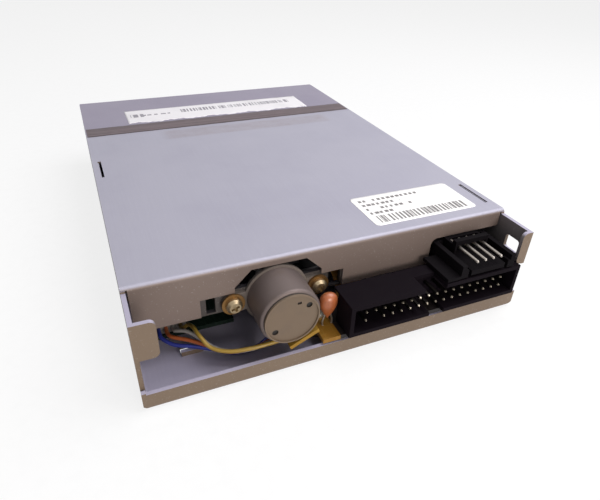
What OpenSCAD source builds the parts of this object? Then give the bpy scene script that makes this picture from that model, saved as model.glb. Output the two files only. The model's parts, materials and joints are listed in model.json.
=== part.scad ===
// Slim 3.5 inch floppy disk drive without a front bezel.
// Origin: centre of the underside. +Z up, -Y is the disk mouth, +Y is the connector end.

/* [Chassis] */
// Width of the drive
drive_w = 101.6; // [100:0.1:104]
// Height of the drive
drive_h = 25.4; // [25:0.1:27]
// Depth of the chassis, front edge to rear lip
body_d = 142; // [141:0.5:146]
// Thickness of the chassis steel
pan_t = 1; // [0.8:0.05:1.1]
// Outside radius of the bends along the chassis floor
pan_bend_r = 1.6; // [1.3:0.1:1.9]
// Corner radius of the rear lip
lip_corner_r = 2.6; // [2:0.1:3]
// Height of the rear lip
lip_h = 4.8; // [4:0.1:5]
// Height of the side walls
wall_h = 24.7; // [24.4:0.1:24.8]
// Height of the side walls behind the cover
rear_wall_h = 24.2; // [23.8:0.1:24.4]
// Length of the left rear tab
left_tab_w = 5.2; // [4:0.1:6]
// Length of the right rear tab
right_tab_w = 2.9; // [2.4:0.1:3.4]
// Diameter of the tapped mounting holes
mount_hole_d = 3; // [2.6:0.1:3.4]
// Distance between the mounting holes along the depth
mount_pitch_y = 70; // [60:1:80]
// Distance between the mounting holes across the underside
mount_pitch_x = 95.25; // [94:0.05:95.6]

/* [Cover] */
// Thickness of the cover steel
cover_t = 0.6; // [0.5:0.05:0.8]
// Distance of the cover's rear flange from the chassis rear
flange_setback = 10.9; // [10.5:0.1:12]
// Depth of the flange below the cover's top
flange_drop = 12.5; // [12:0.1:12.8]
// Depth of the cover's front lip
front_lip_drop = 7.6; // [7:0.1:8]

/* [Stepper motor] */
// Distance of the motor axis from the middle plane
motor_x = 16.2; // [15.8:0.1:16.6]
// Height of the motor axis
motor_z = 15; // [14.8:0.1:15.2]
// Diameter of the motor can
can_d = 14.8; // [14:0.1:15.2]
// Diameter of the motor's mounting plate
motor_plate_d = 16.1; // [15.6:0.1:16.4]
// Distance between the motor's two screws
motor_screw_pitch = 21.6; // [21.2:0.1:22]
// Advance of the head carriage for one turn of the lead screw
screw_lead = 3.75; // [3.6:0.05:3.9]

/* [Connectors] */
// Number of pin columns of the data connector
data_columns = 17; // [13:2:17]
// Distance between neighbouring pins of the data connector
data_pitch = 2.54; // [2.5:0.01:2.54]
// Gap between the data connector and the right wall
data_gap = 1.7; // [1.5:0.1:2]
// Distance between neighbouring pins of the power connector
power_pitch = 2.5; // [2.4:0.02:2.54]
// Distance of the power connector's middle from the right wall
power_inset = 12.9; // [12.6:0.1:13.1]

/* [Disk drive mechanism] */
// Room on each side of the disk cassette for holder, slider, guide and wall
side_room = 5.8; // [5.7:0.1:6.3]
// Thickness of the disk cassette
disk_t = 3.3; // [3.2:0.05:3.4]
// Drop of the disk holder when a disk is loaded
holder_drop = 2.4; // [2.2:0.05:2.5]
// Travel of the eject slider
slider_travel = 6; // [5.5:0.1:6.2]
// Travel of the heads from the outer to the inner track
head_travel = 14.8; // [14:0.1:15]
// Diameter of the spindle rotor
rotor_d = 49; // [46:0.5:50]
// Diameter of the carriage's guide rod
rod_d = 3; // [2.8:0.1:3.1]

/* [Hidden] */
// Smoothness of round faces
$fn = 48;
// Overrun of every cut
over = 0.5;
// Radial clearance of running fits
run_fit = 0.05;
// Clearance between pieces that slide past each other
slip = 0.3;
// Clearance between seated pieces of one body
seat = 0.05;

// How far the data connector stands out behind the chassis
header_proud = 1.6;
front_y = -(body_d + header_proud) / 2;
rear_y = front_y + body_d;
flange_y = rear_y - flange_setback;
wall_x = drive_w / 2 - pan_t;
cover_under_z = drive_h - cover_t;

// Left rear tab and right rear tab
tab_drop = 9.4;
tab_corner_r = 1.4;
tab_relief = 1.6;
// Bend radius of the rear lip and front sill of the chassis
lip_bend_r = 1.4;
// Relief slot at each end of the rear lip
relief_w = 0.5;
// Sill at the disk mouth
sill_h = 11.8;
sill_gap_w = 24;
// Screw posts pressed up from the chassis floor
post_d = 6;
post_bore_d = 2;
// Notch in the right wall for the data connector's end
notch_d = 7.4;
notch_top = 14.6;
// Window in the right wall beside the power connector
window_inset = 7.3;
window_y = rear_y - window_inset;
window_w = 4.8;
window_z = 18;
window_h = 4;
window_r = 0.8;
// Lanced locating tab of the floor under the flange
floor_tab_w = 5.3;
floor_tab_h = 1.3;
floor_tab_inset = 12.6;
floor_tab_gap = 2.5;
floor_tab_x = wall_x - floor_tab_inset;
floor_tab_y = flange_y - floor_tab_gap;
// Mounting holes
mount_side_z = 5;
mount_inset = 30.8;
mount_front_y = front_y + mount_inset;
mount_boss_t = 1.4;
mount_boss_d = 5.6;

// Cover
cover_bend_r = 1.1;
cover_gap = 0.4;
hook_l = 12;
hook_t = 1;
hook_inset = 2.2;
hook_drop = 5;
left_hook_y = -3.3;
right_hook_inset = 11.1;
right_hook_y = flange_y - right_hook_inset;
front_corner_r = 2;
step_reach = 17.8;
step_w = 36.2;
step_to_x = motor_x - step_reach;
step_from_x = step_to_x + step_w;
step_z = 17.8;
octagon_shift = 0.8;
octagon_x = motor_x - octagon_shift;
octagon_w = 22;
octagon_top_w = 13.8;
octagon_top_z = 23.3;
octagon_side_z = 19.3;
power_cut_gap = 0.85;
power_cut_z = 20.7;
power_cut_r = 1.9;

// Stepper motor and its bracket
bracket_t = 1.2;
bracket_y = flange_y - cover_t - seat - bracket_t;
bracket_w = 36.4;
bracket_from_x = step_to_x;
bracket_to_x = bracket_from_x + bracket_w;
bracket_low_z = 12.6;
bracket_high_z = 18.4;
bracket_hole_d = 6;
base_strip_z = 8;
base_strip_t = 1;
base_strip_w = 9;
screw_inset = 5.3;
slot_left_inset = 2.7;
slot_left_x = bracket_to_x - slot_left_inset;
slot_left_w = 2.2;
slot_right_inset = 2.1;
slot_right_x = bracket_from_x + slot_right_inset;
slot_right_w = 3.4;
slot_top_z = 17.6;
motor_plate_t = 0.8;
motor_ear_d = 5.2;
can_l = 9.4;
can_edge_r = 0.7;
cap_t = 0.5;
cap_rim_t = 0.35;
cap_rim_w = 0.35;
cap_hole_d = 1.5;
cap_hole_r = 5;
cap_slot_w = 1;
cap_slot_h = 0.7;
boss_d = 5.6;
boss_l = 1.6;
terminal_w = 8;
terminal_l = 6.4;
terminal_t = 1;
terminal_turn = 245;
pad_d = 1.1;
pad_pitch = 1.8;
washer_d = 5.6;
washer_t = 0.5;
washer_bore_d = 2.4;
motor_screw_head_d = 3.9;
motor_screw_head_t = 1.5;
motor_screw_d = 2;
motor_screw_l = 4.4;

// Lead screw
screw_r = 1.5;
screw_wave = 0.5;
// Room between the thread and each of its bearings, and beyond the needle's travel
screw_front_gap = 2.4;
screw_rear_gap = 6.45;
needle_margin = 2;
follower_inset = 5;
screw_ear_gap = 2;
screw_to_y = bracket_y - screw_rear_gap;
follower_y = screw_to_y - follower_inset;
screw_from_y = follower_y - head_travel - needle_margin;
bracket_front_y = screw_from_y - screw_front_gap;
screw_steps = 64;
screw_sides = 16;
journal_d = 2;
needle_d = 0.8;
needle_gap = 0.35;

// Guide rod and its clamps
rod_x = -15;
rod_z = 7;
rod_rear_gap = 0.45;
rod_front_inset = 8.2;
rod_to_y = bracket_y - rod_rear_gap;
clamp_w = 7.8;
clamp_l = 3;
clamp_wall = 1.4;
clamp_screw_x = 5.2;

// Disk levels: the cassette's underside when it is loaded
disk_load_z = 10.8;
disk_free_z = disk_load_z + holder_drop;
// Space between the loaded cassette's end and the front edge
disk_inset = 2.6;
disk_w = drive_w - 2 * side_room;
disk_rear_y = bracket_front_y - screw_ear_gap;
disk_l = disk_rear_y - front_y - disk_inset;
// The hub stands a little behind the cassette's middle
hub_offset = 0.5;
hub_to_edge = disk_l / 2 - hub_offset;
spindle_y = disk_rear_y - hub_to_edge;
head_inset = 7;
track_zero_r = hub_to_edge - head_inset;
head_y = spindle_y + track_zero_r;
rod_from_y = disk_rear_y - rod_front_inset;

// Disk holder
holder_t = 0.8;
holder_side_gap = 0.4;
holder_top_gap = 0.8;
holder_rest = 4;
holder_front_y = front_y + 2.4 * pan_t;
holder_rear_y = disk_rear_y - pan_t;
holder_window_w = 24;
holder_window_l = 30;
holder_pin_d = 1.9;
holder_pin_l = 2.5;
pin_front_inset = 23.8;
pin_rear_inset = 16.8;
holder_pin_front_y = front_y + pin_front_inset;
holder_pin_rear_y = disk_rear_y - pin_rear_inset;
holder_spring_w = 7;
holder_spring_l = 22;
holder_x = disk_w / 2 + holder_side_gap;
holder_under_z = disk_free_z - seat - slip / 2 - holder_t;
holder_top_z = disk_free_z + disk_t + holder_top_gap;
pin_z = (holder_under_z + holder_top_z + holder_t) / 2;

// Eject slider
slider_t = 0.8;
slider_x = holder_x + holder_t + slip;
slider_top_z = holder_top_z + holder_t + 2 * slip;
slider_inset = 10.8;
slider_rear_inset = 8.8;
slider_front_y = front_y + slider_inset;
slider_rear_y = disk_rear_y - slider_rear_inset;
slider_low_z = 9.4;
slider_window_w = 32;
slider_hub_d = 40;
ramp_fit = 0.1;
button_arm_w = 10;

// Eject button
button_w = 10;
button_h = 4.8;
button_l = 6.8;
button_gap = 0.5;
button_x = slider_x - button_gap - button_w / 2;
button_z = 7.4;
button_inset = 0.4;
button_r = 0.9;

// Side guides
guide_t = 0.8;
guide_x = slider_x + slider_t + slip;
guide_from_y = slider_front_y + pan_t;
guide_to_y = slider_rear_y + 2 * pan_t;
guide_h = 19;
guide_foot_w = 0.9;

// Tension springs of the slider
spring_d = 3.4;
spring_wire = 0.5;
spring_inset = 7;
spring_x = guide_x - spring_inset;
spring_z = 6;
spring_l = 21;
spring_from_y = holder_pin_front_y;
spring_to_y = spring_from_y + spring_l;
spring_curls = 13;
spring_hook_d = 1.5;
spring_ring_share = 8;

// Shutter lever
lever_inset = 8;
lever_rear_inset = 6.3;
lever_x = lever_inset - disk_w / 2;
lever_y = disk_rear_y - lever_rear_inset;
lever_l = 25;
lever_t = 1.4;
lever_turn = -35;
lever_root_d = 7;
lever_tip_d = 3.6;
lever_pin_d = 3;
lever_tip_pin_d = 2;
lever_tip_pin_l = 0.6;
lever_spring_curls = 4;
lever_spring_wire = 0.4;
lever_spring_l = 3;
lever_spring_z = holder_top_z + holder_t + lever_spring_wire;

// Spindle motor
board_t = 1.2;
spindle_board_z = pan_t;
spindle_board_top = spindle_board_z + board_t;
spindle_board_inset = 6.8;
spindle_board_gap = 5.8;
spindle_board_from_y = front_y + spindle_board_inset;
spindle_board_to_y = holder_pin_rear_y;
spindle_board_x = wall_x - spindle_board_gap;
// Tongue of the spindle board, on which the socket of the leads stands
board_tongue_w = 20.5;
board_tongue_x = spindle_board_x + pan_t;
bearing_d = 9;
bearing_foot_d = 15;
bearing_foot_t = 0.8;
shaft_d = 3;
stator_in_d = 16;
stator_poles = 12;
stator_t = 1.6;
stator_z = 3.6;
pole_w = 2.4;
pole_shoe_w = 7.4;
pole_shoe_t = 1.6;
coil_w = 4.8;
coil_h = 3;
coil_gap = 1.1;
coil_end_gap = 1.3;
rotor_z = 3;
rotor_top_z = 8.2;
rotor_t = 0.8;
magnet_t = 2;
magnet_gap = 1.2;
stator_out_d = rotor_d - 2 * (rotor_t + magnet_t + magnet_gap);
coil_in_r = stator_in_d / 2 + pole_w + coil_gap;
coil_out_r = stator_out_d / 2 - pole_shoe_t - coil_end_gap;
hub_d = 23;
hub_top_z = 11.2;
hub_shoulder_d = 17;
hub_tip_z = 12.4;
drive_pin_r = 8.5;
drive_pin_d = 3;
drive_pin_z = 12;
leaf_w = 4;
leaf_l = 12;
leaf_t = 0.3;

// Head carriage, at its place over the outer track
arm_under_z = 8.6;
arm_top_z = 10.2;
arm_w = 14;
arm_nose_l = 5.8;
arm_front_y = head_y - arm_nose_l;
sleeve_d = 6.2;
sleeve_l = 12;
upright_l = 8.5;
follower_w = 4;
upright_top_z = 13.6;
hinge_z = 15.7;
hinge_d = 1.6;
hinge_ear_t = 1.6;
hinge_ear_r = 2;
hinge_y = follower_y;
upright_from_y = hinge_y - follower_w;
upright_to_y = upright_from_y + upright_l;
sleeve_y = upright_to_y - sleeve_l / 4;
follower_h = 2;
flag_t = 0.8;
flag_z = 8.9;
flag_l = 5.6;
head_w = 6;
head_l = 7;
head_face_z = 12.4;
head_rail_w = 1;
head_rail_t = 0.3;
gimbal_t = 0.2;
gimbal_w = 9;
gimbal_l = 10;
media_gap = 0.15;

// Upper head arm, which is raised while no disk is in the drive
raise_angle = 9.5;
upper_arm_t = 1.6;
upper_arm_root_w = 10.2;
upper_arm_tip_w = 8;
upper_arm_rib_t = 0.9;
upper_arm_rib_h = 1.2;
arm_spring_d = 3;
arm_spring_wire = 0.4;
arm_spring_curls = 4;
arm_spring_w = 3.4;

// Main circuit board
main_board_top = 6.4;
board_low_z = main_board_top - board_t;
main_board_rear_y = rear_y - 0.2 * pan_t;
strip_rear_gap = 1.5;
strip_end_w = 3.3;
wing_w = 25;
wing_gap = 1.2;
board_edge_gap = 1.6;
board_screw_inset = 2.8;
board_screw_y = 7.6;
strip_from_y = flange_y - strip_rear_gap;
wing_from_y = disk_rear_y + wing_gap;
board_edge_x = board_edge_gap - wall_x;
wing_x = board_edge_x + wing_w;
chip_w = 12;
// Place of the chip, as shares of the wing
chip_share = [0.37, 0.535];
chip_t = 2;
chip_x = board_edge_x + wing_w * chip_share.x;
chip_y = wing_from_y + (strip_from_y - wing_from_y) * chip_share.y;
chip_leg_n = 11;
chip_leg_pitch = 1;
chip_leg_w = 0.4;
chip_leg_l = 1.4;
chip_leg_t = 0.2;

// Data connector
shroud_w = (data_columns - 1) * data_pitch + 9.76;
shroud_h = 9.1;
data_x = shroud_w / 2 + data_gap - wall_x;
shroud_z = main_board_top + seat + shroud_h / 2;
shroud_d = 9.3;
shroud_wall = 1.15;
shroud_back = 2.6;
shroud_rear_y = -front_y;
key_w = 4.4;
top_key_w = 6.4;
top_key_x = 1.6;
top_key_l = 5.6;
shroud_chamfer = 2.4;
pin_w = 0.64;
pin_recess = 0.9;
pin_tip = 0.5;
pin_tail_l = 1.5;
pin_tail_y = shroud_rear_y - shroud_d - pin_tail_l;
missing_column = 1;

// Power connector
power_z = 19.8;
power_x = power_inset - wall_x;
power_w = 16.9;
power_wall = 1.4;
power_back_t = 7.5;
power_foot_t = 2.7;
power_proud = 1.4;
power_l = 15;
power_front_y = rear_y + power_proud;
power_y = power_front_y - power_l;
power_low_z = 15.9;
power_wall_top = 19.6;
power_back_top = 20.5;
power_rib_top = 21.8;
power_cut_x = power_x + power_w / 2 + power_cut_gap;
tongue_w = 10.6;
tongue_top = 17.7;
ledge_w = 4;
ledge_t = 0.9;
power_pin_w = 0.8;
power_pin_tip_y = power_front_y - slip / 2;
power_post_w = 2.2;

// Drop capacitor
cap_gap = 2.6;
cap_inset = 5.3;
cap_x = data_x + shroud_w / 2 + cap_gap;
cap_y = rear_y - cap_inset;
strip_to_x = cap_x + strip_end_w;
cap_z = 12;
drop_w = 4.8;
drop_h = 7.8;
drop_t = 3.4;
drop_lead_d = 0.6;
drop_lead_pitch = 2.5;

// Leads of the motor
lead_d = 1.2;
socket_gap = 8.8;
socket_inset = 16.3;
socket_x = wall_x - socket_gap;
socket_y = flange_y - socket_inset;
socket_w = 9;
socket_l = 5;
socket_h = 4.6;
plug_w = 7.6;
plug_l = 6;
plug_h = 3.4;

// Sensor switches
switch_w = 5;
switch_l = 6.4;
switch_h = 6.6;
plunger_d = 2;
plunger_top_z = 12;
plunger_travel = 1.3;
switch_inset = 6.6;
switch_front_inset = 12.8;
disk_switch_gap = 9;
switch_x = disk_w / 2 - switch_inset;
switch_front_y = front_y + switch_front_inset;
disk_switch_x = -disk_w / 3;
disk_switch_y = switch_front_y + disk_switch_gap;

// Track sensor
sensor_reach = 12.2;
sensor_x = rod_x - sensor_reach;
sensor_w = 7.6;
sensor_l = 5;
sensor_h = 6;
sensor_gap = 2.4;

// Activity lamp
lamp_inset = 6.5;
lamp_x = lamp_inset - slider_x;
lamp_w = 5;
lamp_h = 2.4;
lamp_l = 3;
lamp_z = 6;

// Small screws
small_screw_d = 2;
small_head_d = 3.8;
small_head_t = 1.2;
small_screw_l = 3;

// A box given by its two corners
module span(a, b) {
  translate(a) cube([b.x - a.x, b.y - a.y, b.z - a.z]);
}

// A box of width w about x, from y0 to y1 and from z0 to z1
module slab(x, w, y0, y1, z0, z1) span([x - w / 2, y0, z0], [x + w / 2, y1, z1]);

// A flat rectangle with round corners, about the origin
module round_rect(w, d, r) {
  square([w - 2 * r, d], center = true);
  square([w, d - 2 * r], center = true);
  for (sx = [-1, 1], sy = [-1, 1])
    translate([sx * (w / 2 - r), sy * (d / 2 - r)]) circle(r = r, $fn = 32);
}

// Lays a flat outline into the XZ plane, from y to y + t
module along_y(y, t) {
  translate([0, y + t, 0]) rotate([90, 0, 0]) linear_extrude(height = t) children();
}

// Lays a flat outline of Y and Z into the YZ plane, from x to x + t
module along_x(x, t) {
  translate([x, 0, 0]) rotate([90, 0, 90]) linear_extrude(height = t) children();
}

// A round bar along Y
module bar_y(x, z, d, y0, y1) {
  translate([x, y0, z]) rotate([-90, 0, 0]) cylinder(d = d, h = y1 - y0);
}

// A round bar along X
module bar_x(y, z, d, x0, x1) {
  translate([x0, y, z]) rotate([0, 90, 0]) cylinder(d = d, h = x1 - x0);
}

// A round bar along Z
module bar_z(x, y, d, z0, z1) {
  translate([x, y, z0]) cylinder(d = d, h = z1 - z0);
}

function add(a, b) = [for (i = [0:2]) a[i] + b[i]];
function unit(v) = v / norm(v);

// Points of a smooth curve through the route's points, with n steps between neighbours
function curve_point(a, b, c, d, t) =
  0.5 * (2 * b + (c - a) * t + (2 * a - 5 * b + 4 * c - d) * t * t
  + (3 * b - a - 3 * c + d) * t * t * t);
function smooth_route(p, n) = concat(
  [for (i = [0:len(p) - 2], k = [0:n - 1])
    curve_point(p[max(i - 1, 0)], p[i], p[i + 1], p[min(i + 2, len(p) - 1)], k / n)],
  [p[len(p) - 1]]);

// Direction of travel at point i of a path
function heading(p, i) = unit(p[min(i + 1, len(p) - 1)] - p[max(i - 1, 0)]);

// Side direction of each ring, carried along the path so that the tube doesn't twist
function first_side(t) = unit(cross(t, abs(t.z) < 0.9 ? [0, 0, 1] : [1, 0, 0]));
function sides_from(path, i, u) = i == len(path) ? [] :
  let (t = heading(path, i), v = unit(u - (u * t) * t)) concat([v], sides_from(path, i + 1, v));
function ring_points(c, t, u, r, sides) = let (v = cross(t, u))
  [for (k = [0:sides - 1]) c + r * (cos(360 * k / sides) * u + sin(360 * k / sides) * v)];

// One tube round a path: a ring of points at each path point
module tube(path, r, sides) {
  count = len(path);
  u = sides_from(path, 0, first_side(heading(path, 0)));
  points = [for (i = [0:count - 1]) each ring_points(path[i], heading(path, i), u[i], r, sides)];
  wall = [for (i = [0:count - 2], k = [0:sides - 1])
    let (a = i * sides + k, b = i * sides + (k + 1) % sides)
    each [[a, b + sides, b], [a, a + sides, b + sides]]];
  first_end = [for (k = [1:sides - 2]) [0, k, k + 1]];
  last_end = [for (k = [1:sides - 2])
    [(count - 1) * sides, (count - 1) * sides + k + 1, (count - 1) * sides + k]];
  polyhedron(points = points, faces = concat(wall, first_end, last_end), convexity = 6);
}

// A pan-head screw with a crossed recess, its head's underside at the origin, shank along -Z
module screw(head_d, head_t, shank_d, shank_l) {
  difference() {
    union() {
      cylinder(d = head_d, h = head_t / 2);
      translate([0, 0, head_t / 2]) cylinder(d1 = head_d, d2 = 0.7 * head_d, h = head_t / 2);
      translate([0, 0, -shank_l]) cylinder(d = shank_d, h = shank_l + head_t / 4);
    }
    for (turn = [0, 90])
      rotate(turn) translate([0, 0, head_t])
        cube([0.52 * head_d, 0.16 * head_d, head_t], center = true);
  }
}

// Chassis

// Cross-section of the chassis: floor and both side walls, bent from one sheet
module pan_section() {
  difference() {
    translate([0, wall_h]) round_rect(drive_w, 2 * wall_h, pan_bend_r);
    translate([0, wall_h])
      round_rect(drive_w - 2 * pan_t, 2 * (wall_h - pan_t), pan_bend_r - pan_t);
    translate([-drive_w / 2, wall_h]) square([drive_w, wall_h + over]);
  }
}

// Outline of a lip of height h with lower corners of radius r
module lip_outline(h, r) {
  intersection() {
    translate([0, wall_h]) round_rect(drive_w, 2 * wall_h, r);
    translate([-drive_w / 2, 0]) square([drive_w, h]);
  }
}

// Rear tab, bent inwards from a side wall; side is 1 on the left and -1 on the right
module rear_tab(side, w) {
  low = rear_wall_h - tab_drop;
  r = tab_corner_r;
  outer = side * drive_w / 2;
  along_y(rear_y - pan_t, pan_t)
    intersection() {
      translate([outer, low + tab_drop / 2]) round_rect(2 * w, tab_drop, r);
      translate([side > 0 ? 0 : outer, 0]) square([drive_w / 2, drive_h]);
    }
}

post_places = [
  [[motor_x, bracket_front_y + screw_inset], base_strip_z],
  [[motor_x, bracket_y - screw_inset], base_strip_z],
  [[board_edge_x + board_screw_inset, wing_from_y + board_screw_y], board_low_z],
  [[wing_x - board_screw_inset, wing_from_y + board_screw_inset], board_low_z],
  [[strip_to_x - board_screw_inset, strip_from_y + board_screw_inset], board_low_z],
  [[board_edge_x + board_screw_inset, power_y - small_head_d / 2 - 2 * seat], board_low_z],
  [[rod_x - clamp_screw_x, rod_from_y + clamp_l / 2 + seat], rod_z - rod_d / 2 - clamp_wall],
  [[rod_x - clamp_screw_x, rod_to_y - clamp_l / 2 - seat], rod_z - rod_d / 2 - clamp_wall]
];

// Its children on top of the chosen posts
module at_posts(chosen) {
  for (k = chosen) translate([post_places[k][0].x, post_places[k][0].y, post_places[k][1]])
    children();
}

module mount_bosses(hole) {
  d = hole ? mount_hole_d : mount_boss_d;
  extra = hole ? over : 0;
  for (k = [0, 1]) {
    y = mount_front_y + k * mount_pitch_y;
    for (side = [-1, 1]) {
      bar_z(side * mount_pitch_x / 2, y, d, -extra, pan_t + (hole ? over : mount_boss_t));
      inner = wall_x - (hole ? over : mount_boss_t);
      bar_x(y, mount_side_z, d, side > 0 ? inner : -drive_w / 2 - extra,
        side > 0 ? drive_w / 2 + extra : -inner);
    }
  }
}

module pan_chassis() color([0.62, 0.6, 0.6]) {
  difference() {
    union() {
      along_y(front_y, body_d) pan_section();
      along_y(rear_y - pan_t, pan_t) lip_outline(lip_h, lip_corner_r);
      along_y(front_y, pan_t) lip_outline(sill_h, pan_bend_r);
      for (p = post_places) bar_z(p[0].x, p[0].y, post_d, pan_t / 2, p[1]);
      intersection() {
        mount_bosses(false);
        along_y(front_y, body_d) lip_outline(wall_h, pan_bend_r);
      }
      slab(floor_tab_x, floor_tab_w, floor_tab_y, floor_tab_y + pan_t, pan_t / 2, pan_t + floor_tab_h);
    }
    // Side walls end short of the rear between tab and lip
    for (side = [-1, 1]) {
      x = side > 0 ? wall_x - over : -drive_w / 2 - over;
      span([x, rear_y - (side > 0 ? tab_relief : notch_d), lip_h + relief_w],
        [x + pan_t + 2 * over, rear_y + over, side > 0 ? rear_wall_h - tab_drop : notch_top]);
      // Relief slots beside the lip
      span([x, rear_y - tab_relief, lip_h], [x + pan_t + 2 * over, rear_y - pan_t, lip_h + over]);
    }
    span([-drive_w / 2 - over, flange_y, rear_wall_h],
      [drive_w / 2 + over, rear_y + over, drive_h]);
    // Cut corners of the floor behind the lip's round corners
    for (side = [-1, 1])
      translate([side * drive_w / 2, rear_y, 0]) rotate([0, 45, 0])
        cube([2 * (lip_corner_r - pan_bend_r), 2 * relief_w, 2 * (lip_corner_r - pan_bend_r)],
          center = true);
    for (p = post_places) bar_z(p[0].x, p[0].y, post_bore_d, -over, p[1] + over);
    mount_bosses(true);
    // Window in the right wall beside the power connector
    translate([-drive_w / 2 - over, window_y + window_w / 2, window_z])
      rotate([90, 0, 90]) linear_extrude(height = pan_t + 2 * over)
        round_rect(window_w, window_h, window_r);
    // Slots in the floor from which the locating tab was bent up
    slab(floor_tab_x, floor_tab_w, floor_tab_y - 2 * floor_tab_h, floor_tab_y, -over, pan_t + over);
    // Gaps in the front sill for the eject button and the lamp
    span([button_x - button_w / 2 - slip, front_y - over, button_z - button_h / 2 - slip],
      [button_x + button_w / 2 + slip, front_y + pan_t + over, button_z + button_h / 2 + slip]);
    span([lamp_x - lamp_w / 2 - slip, front_y - over, lamp_z - lamp_h / 2 - slip],
      [lamp_x + lamp_w / 2 + slip, front_y + pan_t + over, lamp_z + lamp_h / 2 + slip]);
    // Finger notch in the middle of the sill
    along_y(front_y - over, pan_t + 2 * over)
      translate([0, sill_h]) round_rect(sill_gap_w, 2 * pan_bend_r, pan_bend_r - seat);
    // Rounded bends along the rear lip and the sill
    bend_cut(rear_y, 1);
    bend_cut(front_y, -1);
  }
  rear_tab(1, left_tab_w);
  rear_tab(-1, right_tab_w);
}

// Cutter that rounds the bottom edge of the chassis at y; way is the outward direction
module bend_cut(y, way) {
  difference() {
    span([-drive_w / 2 - over, y - (way > 0 ? lip_bend_r : over), -over],
      [drive_w / 2 + over, y + (way > 0 ? over : lip_bend_r), lip_bend_r]);
    bar_x(y - way * lip_bend_r, lip_bend_r, 2 * lip_bend_r, -drive_w / 2 - 2 * over,
      drive_w / 2 + 2 * over);
  }
}

// Cover

// Side view of the cover: front lip, top sheet and rear flange, bent from one sheet
module cover_profile() {
  length = flange_y - front_y;
  middle = [(flange_y + front_y) / 2, drive_h - length / 2];
  difference() {
    translate(middle) round_rect(length, length, cover_bend_r);
    translate(middle) round_rect(length - 2 * cover_t, length - 2 * cover_t,
      cover_bend_r - cover_t);
    translate([front_y - over, drive_h - length - over])
      square([length / 2 + 2 * over, length - front_lip_drop + over]);
    translate([middle.x, drive_h - length - over])
      square([length / 2 + over, length - flange_drop + over]);
  }
}

// Everything that the flange is cut away for, as an outline in X and Z
module flange_cut() {
  low = drive_h - flange_drop - over;
  polygon([
    [step_from_x, low], [step_from_x, step_z], [octagon_x + octagon_w / 2, step_z],
    [octagon_x + octagon_w / 2, octagon_side_z],
    [octagon_x + octagon_top_w / 2, octagon_top_z],
    [octagon_x - octagon_top_w / 2, octagon_top_z],
    [octagon_x - octagon_w / 2, octagon_side_z],
    [octagon_x - octagon_w / 2, step_z], [step_to_x, step_z], [step_to_x, low]
  ]);
  difference() {
    translate([-drive_w / 2 - over, low])
      square([power_cut_x + drive_w / 2 + over, power_cut_z - low]);
    translate([power_cut_x - power_cut_r, power_cut_z - power_cut_r])
      difference() {
        square(power_cut_r + over);
        circle(r = power_cut_r);
      }
  }
}

module cover_hook(side, y) {
  inner = side * (wall_x - slip - cover_t / 2);
  slab(inner, cover_t, y - hook_l / 2 + slip, y + hook_l / 2 - slip,
    cover_under_z - hook_drop, cover_under_z + cover_t / 2);
}

module top_cover() color([0.62, 0.62, 0.7]) {
  flange_x = wall_x - cover_gap;
  difference() {
    along_x(-drive_w / 2, drive_w) cover_profile();
    // The flange and the front lip pass between the side walls
    for (side = [-1, 1]) {
      x = side > 0 ? flange_x : -drive_w / 2 - over;
      span([x, flange_y - cover_bend_r, 0],
        [x + drive_w / 2 - flange_x + over, flange_y + over, cover_under_z]);
      span([x, front_y - over, 0],
        [x + drive_w / 2 - flange_x + over, front_y + cover_bend_r, cover_under_z]);
    }
    along_y(flange_y - cover_bend_r - over, cover_bend_r + 2 * over) flange_cut();
    // Slots that the two hooks were bent out of
    for (h = [[1, left_hook_y], [-1, right_hook_y]])
      span([h[0] * (wall_x - hook_inset / 2) - hook_t / 2, h[1] - hook_l / 2, cover_under_z - over],
        [h[0] * (wall_x - hook_inset / 2) + hook_t / 2, h[1] + hook_l / 2, drive_h + over]);
    // Rounded plan corners at the front
    for (side = [-1, 1])
      translate([side * (drive_w / 2 - front_corner_r), front_y + front_corner_r, cover_under_z])
        difference() {
          translate([side > 0 ? 0 : -front_corner_r - over, -front_corner_r - over, -over])
            cube([front_corner_r + over, front_corner_r + over, cover_t + 2 * over]);
          translate([0, 0, -2 * over])
            cylinder(r = front_corner_r, h = cover_t + 4 * over);
        }
  }
  cover_hook(1, left_hook_y);
  cover_hook(-1, right_hook_y);
}

// Stepper motor

module stepper_bracket() color([0.6, 0.58, 0.56]) {
  strip_x = motor_x - base_strip_w / 2;
  ear_y = bracket_front_y;
  difference() {
    union() {
      span([bracket_from_x, bracket_y, bracket_low_z],
        [bracket_to_x, bracket_y + bracket_t, bracket_high_z]);
      span([strip_x, bracket_y, base_strip_z],
        [strip_x + base_strip_w, bracket_y + bracket_t, bracket_low_z]);
      span([strip_x, ear_y, base_strip_z],
        [strip_x + base_strip_w, bracket_y + bracket_t / 2, base_strip_z + base_strip_t]);
      span([strip_x, ear_y, base_strip_z],
        [strip_x + base_strip_w, ear_y + bracket_t, motor_z]);
      bar_y(motor_x, motor_z, base_strip_w, ear_y, ear_y + bracket_t);
    }
    bar_y(motor_x, motor_z, bracket_hole_d, bracket_y - over, bracket_y + bracket_t + over);
    bar_y(motor_x, motor_z, journal_d + 2 * run_fit, ear_y - over, ear_y + bracket_t + over);
    at_motor_screws(bracket_y) rod(motor_screw_d + 2 * run_fit, -over, bracket_t + over);
    for (s = [[slot_left_x, slot_left_w], [slot_right_x, slot_right_w]])
      span([s.x - s.y / 2, bracket_y - over, bracket_low_z + base_strip_t / 2],
        [s.x + s.y / 2, bracket_y + bracket_t + over, slot_top_z]);
    at_posts([0, 1]) rod(small_screw_d + 2 * run_fit, -over, base_strip_t + over);
  }
}

motor_y = bracket_y + bracket_t;
can_y = motor_y + motor_plate_t;
can_rear_y = can_y + can_l;

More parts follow.
